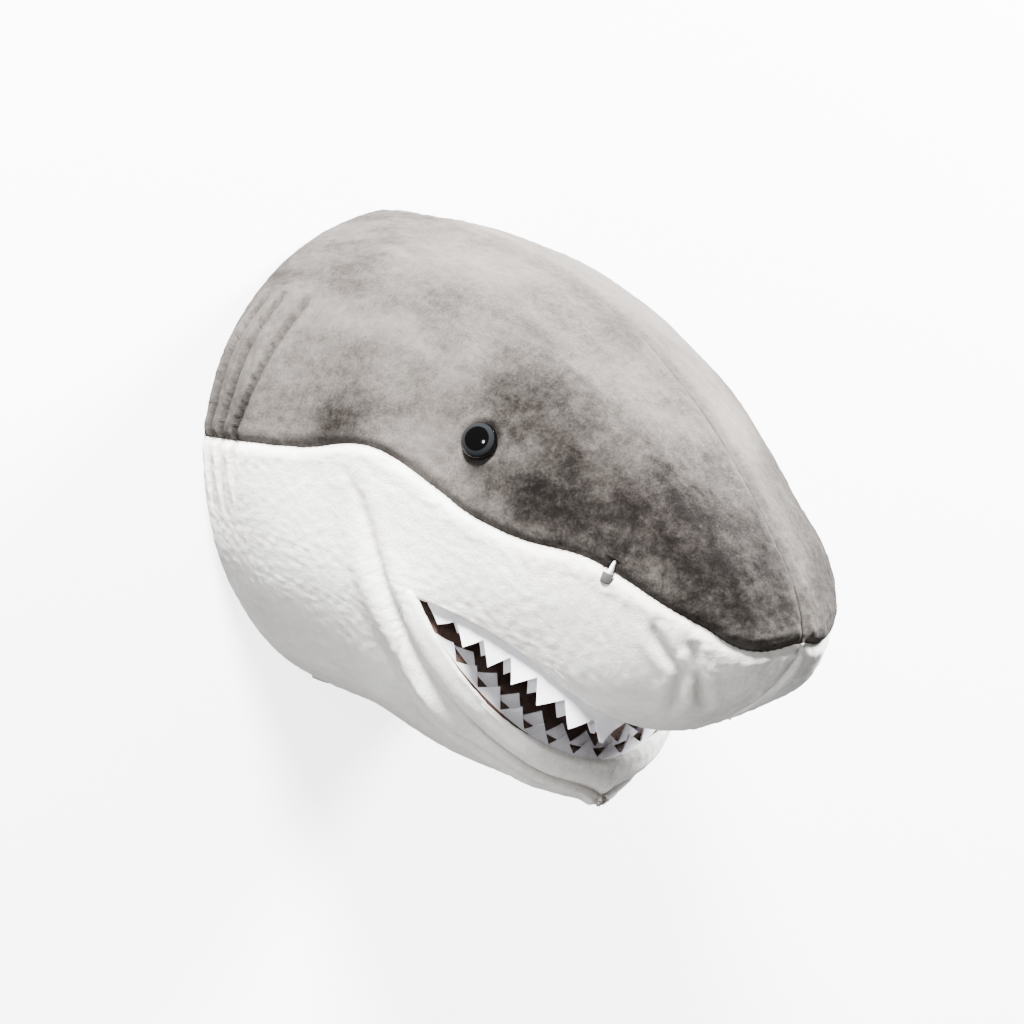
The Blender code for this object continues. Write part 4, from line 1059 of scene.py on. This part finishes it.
def teeth_grid(sizes, seed, upper, inward, band, phase, tooth):
    """Felt strip: along the lip's inner edge by up to a zigzag. The height at a place is the
    plain band plus the tooth height times a triangle wave, times the share of the way up.
    Each tooth leans in or out by up to a millimetre and a half."""
    if upper:
        t = np.linspace(MOUTH_CORNER + 0.02, UPPER_LIP_FRONT - 0.0005, 300)
        half = sink(skin, t, upper_lip(t), LINING_INSET)
    else:
        bow = np.linspace(0.32, np.pi / 2, 300)
        half = sink(jaw, bow, np.full_like(bow, 0.01), LINING_INSET)
    hang = -1.0 if upper else 1.0
    half[-1, 0] = 0
    lip = np.concatenate([half, half[-2::-1] * np.array([-1, 1, 1])])
    hinge = skin(MOUTH_CORNER, CORNER_PLACE) * np.array([0, 1, 1])
    lip = lip + unit(hinge - lip) * inward * MM
    distance = distances(lip)
    middle, pitch = distance[-1] / 2, sizes.tooth_pitch
    teeth = int(distance[-1] / pitch - phase)
    start = middle - teeth * pitch / 2
    steps = np.arange(teeth * sizes.tooth_columns + 1) / sizes.tooth_columns
    marks = start + steps * pitch
    foot = sample(marks, distance, lip)
    run = unit(sample(marks, distance, np.gradient(lip, distance, axis=0)))
    upright = unit(np.array([0, 0, hang]) - run * (run[:, 2:3] * hang))
    across = unit(np.cross(run, upright))
    bare = upper * BARE_FRONT - np.abs(marks - middle) / MM
    hidden = np.clip(bare / BARE_BLEND + 1, 0, 1)
    end = np.minimum(marks, distance[-1] - marks) / MM
    grown = CORNER_SHARE + (1 - CORNER_SHARE) * np.clip(end / CORNER_RUN, 0, 1)
    tooth_middle = start + (np.minimum(np.floor(steps), teeth - 1) + 0.5) * pitch
    zigzag = 1 - np.abs(2 * (steps % 1.0) - 1)
    zigzag = zigzag * (np.abs(tooth_middle - middle) / MM >= upper * BARE_FRONT)
    random = np.random.default_rng(seed)
    lean = np.repeat(random.uniform(-TOOTH_LEAN, TOOTH_LEAN, teeth), sizes.tooth_columns)
    lean = np.append(lean, lean[-1])
    share = np.linspace(0, 1, 9)
    band = band * grown * (1 - BARE_SHRINK * hidden)
    height = (band * MM + tooth * MM * grown * zigzag)[:, None] * share[None, :]
    bend = (lean * zigzag)[:, None] * share[None, :] ** 2
    return foot[:, None] + upright[:, None] * height[..., None] + across[:, None] * bend[..., None]


class HEAD_OT_eyes(bpy.types.Operator):
    """Presses in the two moulded safety eyes"""
    bl_idname = "plush_head.eyes"
    bl_label = "Moulded eyes"

    def execute(self, context):
        sizes = context.scene.fitting_sizes
        radius = sizes.eye_diameter / 2
        dome = np.linspace(0, np.pi / 2, 24)
        back = np.linspace(1, 0, 6)
        r = np.concatenate([radius * np.sin(dome), radius * back * 0.98])
        h = np.concatenate([0.0013 + (sizes.eye_height - 0.001) * np.cos(dome),
                            0.0003 + 0.0002 * back])
        turn = np.linspace(0, 2 * np.pi, 73)[None, :, None]
        for hand, side in SIDES:
            mirror = np.array([side, 1, 1])
            centre = skin(*EYE_PLACE) * mirror
            outwards = normal_of(skin, *EYE_PLACE) * mirror
            across = unit(np.cross([0, 0, 1.0], outwards))
            ring = np.cos(turn) * across + np.sin(turn) * np.cross(outwards, across)
            grid = centre + r[:, None, None] * ring + h[:, None, None] * outwards
            mesh = mesh_from_grids(f"eye_{hand}", [grid], weld=1e-5)
            offset = read_points(mesh)[0] - centre
            offset -= (offset @ outwards)[:, None] * outwards
            paint(mesh, "ring", np.linalg.norm(offset, axis=1) / radius)
            finish_piece(f"glossy_eye_{hand}", mesh, "moulded_acrylic_eye",
                         (f"eye_{hand}",))
        return {"FINISHED"}


class HEAD_OT_nostrils(bpy.types.Operator):
    """Adds the nostrils: a pinched white fold over the seam and a dark felt tab"""
    bl_idname = "plush_head.nostrils"
    bl_label = "Nostrils"

    def execute(self, context):
        sizes = context.scene.fitting_sizes
        turn = np.linspace(-0.15 * np.pi, 1.15 * np.pi, 20)[None, :, None]
        u, v = np.meshgrid(np.linspace(-0.5, 0.5, 15), np.linspace(-0.62, 0.38, 13),
                           indexing="ij")
        swell = (0.0010 + 0.0009 * np.cos(u * np.pi) - 0.0012 * v ** 2)[..., None]
        for hand, side in SIDES:
            line, normals = curve_on(skin, NOSTRIL, side, 40)
            run = unit(np.gradient(line, axis=0))
            right = unit(np.cross(run, normals))
            share = np.linspace(0, 1, len(line))
            taper = np.sqrt(np.clip(share * 14, 0, 1)) * (1 - share ** 2.2) ** 0.5
            taper = taper[:, None, None]
            grid = (line[:, None] - normals[:, None] * 0.0018
                    + right[:, None] * np.cos(turn) * 0.0017 * taper
                    + normals[:, None] * np.sin(turn) * 0.0024 * taper)
            mesh = mesh_from_grids(f"nostril_fold_{hand}", [grid], flip=side > 0)
            finish_piece(f"nostril_fold_{hand}", mesh, "brushed_white_plush",
                         sheet=0.0008)

            tab = (line[0] + right[0] * (u * sizes.tab_width)[..., None]
                   + run[0] * (v * sizes.tab_height)[..., None] + normals[0] * swell)
            mesh = mesh_from_grids(f"nostril_tab_{hand}", [tab], flip=side > 0)
            finish_piece(f"nostril_patch_{hand}", mesh, "dark_grey_felt",
                         (f"nostril_tab_{hand}",), 0.0012)
        return {"FINISHED"}


class HEAD_OT_stitches(bpy.types.Operator):
    """Runs the rows of stitches along the seams of the crown. Their dark thread is partly the real
    stitching and partly painted shadow, a dark line standing in for the seam's shadow
    """
    bl_idname = "plush_head.stitches"
    bl_label = "Seam stitches"

    def execute(self, context):
        sizes = context.scene.plush_sizes
        for hand, side in SIDES:
            line, normals = seam_lines(side)["flank"]
            height, _ = relief(line, side, sizes, ("flank",))
            line = line + normals * (height - STITCH_SINK)[:, None]
            mesh = stitches(f"stitches_{hand}", line, normals, sizes.stitch_pitch, sizes.thread)
            finish_piece(f"seam_stitches_{hand}", mesh, "spun_polyester_thread")
        return {"FINISHED"}


def stitches(name, line, normals, pitch, thickness):
    """Short bowed stitches along a line: each is a six-sided tube whose middle stands up by
    half a thread and whose ends dip into the cloth."""
    distance = distances(line)
    count = int(distance[-1] / pitch) - 1
    u = np.linspace(-STITCH_REACH, STITCH_REACH, 6)
    marks = (np.arange(count)[:, None] + 1 + u[None, :]) * pitch
    middle = sample(marks, distance, line)
    out = unit(sample(marks, distance, normals))
    across = unit(np.cross(out, unit(np.gradient(middle, axis=1))))[:, :, None]
    bow = 1 - (u / STITCH_REACH) ** 2
    middle = middle + out * (bow * thickness - 0.6 * thickness)[None, :, None]
    turn = np.linspace(0, 2 * np.pi, 7)[None, None, :, None]
    taper = np.sqrt(np.clip(bow, 0.0, 1)) * 0.6 + 0.4
    taper[[0, -1]] = 0.0
    radius = (thickness / 2 * taper)[None, :, None, None]
    tube = middle[:, :, None] + radius * (np.cos(turn) * out[:, :, None] + np.sin(turn) * across)
    return mesh_from_grids(name, list(tube), weld=1e-5, flip=True)


class HEAD_OT_back(bpy.types.Operator):
    """Finishes the fitted nodes of the back: board, felt, hanger, screws and washers"""
    bl_idname = "plush_head.back"
    bl_label = "Back and hanger"

    def execute(self, context):
        for finish, nodes in (
                ("raw_fibreboard", ("back_board",)),
                ("dark_grey_felt", ("back_felt",)),
                ("zinc_plated_steel", ("hanger_strap", "hanger_ring", "hanger_screw_1",
                                       "hanger_screw_2")),
                ("moulded_polyethylene", ("eye_washer_left", "eye_washer_right"))):
            for node in nodes:
                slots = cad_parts[node].data.materials
                slots.clear()
                slots.append(material(finish))
        return {"FINISHED"}


def aimed(name, data, spot, target):
    """Object for a lamp or a camera that stands at a spot and looks at a target."""
    thing = bpy.data.objects.new(name, data)
    thing.location = spot
    look = Vector(target) - Vector(spot)
    thing.rotation_euler = look.to_track_quat("-Z", "Y").to_euler()
    bpy.context.scene.collection.objects.link(thing)
    return thing


class HEAD_OT_stage(bpy.types.Operator):
    """Sets the pale wall and floor, the soft lights and the camera"""
    bl_idname = "plush_head.stage"
    bl_label = "Wall, lights and camera"

    def execute(self, context):
        scene = context.scene
        back, ground = WALL_BACK, FLOOR_LEVEL
        panels = {"wall": [(-4, back, ground), (4, back, ground), (4, back, 3.2),
                           (-4, back, 3.2)],
                  "floor": [(-1.5, -1.8, ground), (1.5, -1.8, ground), (1.5, back, ground),
                            (-1.5, back, ground)]}
        for name, corners in panels.items():
            mesh = bpy.data.meshes.new(name)
            mesh.from_pydata(corners, [], [(0, 1, 2, 3)])
            mesh.materials.append(material("matt_emulsion_paint"))
            thing = bpy.data.objects.new(name, mesh)
            scene.collection.objects.link(thing)
            thing.visible_diffuse = False
            thing.visible_glossy = False
        for name, spot, target, size, power, in_gloss in LAMPS:
            lamp = bpy.data.lights.new(name, "AREA")
            lamp.shape, lamp.size, lamp.energy = "DISK", size, power
            aimed(name, lamp, spot, target).visible_glossy = in_gloss
        scene.world = bpy.data.worlds.new("studio")
        scene.world.use_nodes = True
        sky = scene.world.node_tree.nodes["Background"]
        sky.inputs["Color"].default_value = (1.0, 1.0, 1.0, 1.0)
        sky.inputs["Strength"].default_value = SKY_STRENGTH
        lens = bpy.data.cameras.new("camera")
        lens.lens, lens.sensor_width = FOCAL_LENGTH, 36.0
        scene.camera = aimed("camera", lens, CAMERA_PLACE, CAMERA_TARGET)
        return {"FINISHED"}


class HEAD_PT_panel(bpy.types.Panel):
    bl_idname = "HEAD_PT_panel"
    bl_label = "Plush shark head"
    bl_space_type = "VIEW_3D"
    bl_region_type = "UI"
    bl_category = "Plush head"

    def draw(self, context):
        for group in (context.scene.plush_sizes, context.scene.fitting_sizes,
                      context.scene.head_colours):
            box = self.layout.box()
            for name in group.__annotations__:
                box.prop(group, name)
        for operator in OPERATORS:
            self.layout.operator(operator.bl_idname)


OPERATORS = (HEAD_OT_crown, HEAD_OT_flanks, HEAD_OT_lip, HEAD_OT_linings, HEAD_OT_teeth,
             HEAD_OT_eyes, HEAD_OT_nostrils, HEAD_OT_stitches, HEAD_OT_back, HEAD_OT_stage)
GROUPS = (PlushSizes, FittingSizes, HeadColours)


def register():
    for kind in (*GROUPS, *OPERATORS, HEAD_PT_panel):
        bpy.utils.register_class(kind)
    bpy.types.Scene.plush_sizes = PointerProperty(type=PlushSizes)
    bpy.types.Scene.fitting_sizes = PointerProperty(type=FittingSizes)
    bpy.types.Scene.head_colours = PointerProperty(type=HeadColours)


def unregister():
    for name in ("plush_sizes", "fitting_sizes", "head_colours"):
        delattr(bpy.types.Scene, name)
    for kind in (HEAD_PT_panel, *OPERATORS[::-1], *GROUPS[::-1]):
        bpy.utils.unregister_class(kind)


def main():
    register()
    for operator in OPERATORS:
        group, name = operator.bl_idname.split(".")
        getattr(getattr(bpy.ops, group), name)()


if __name__ == "__main__":
    main()
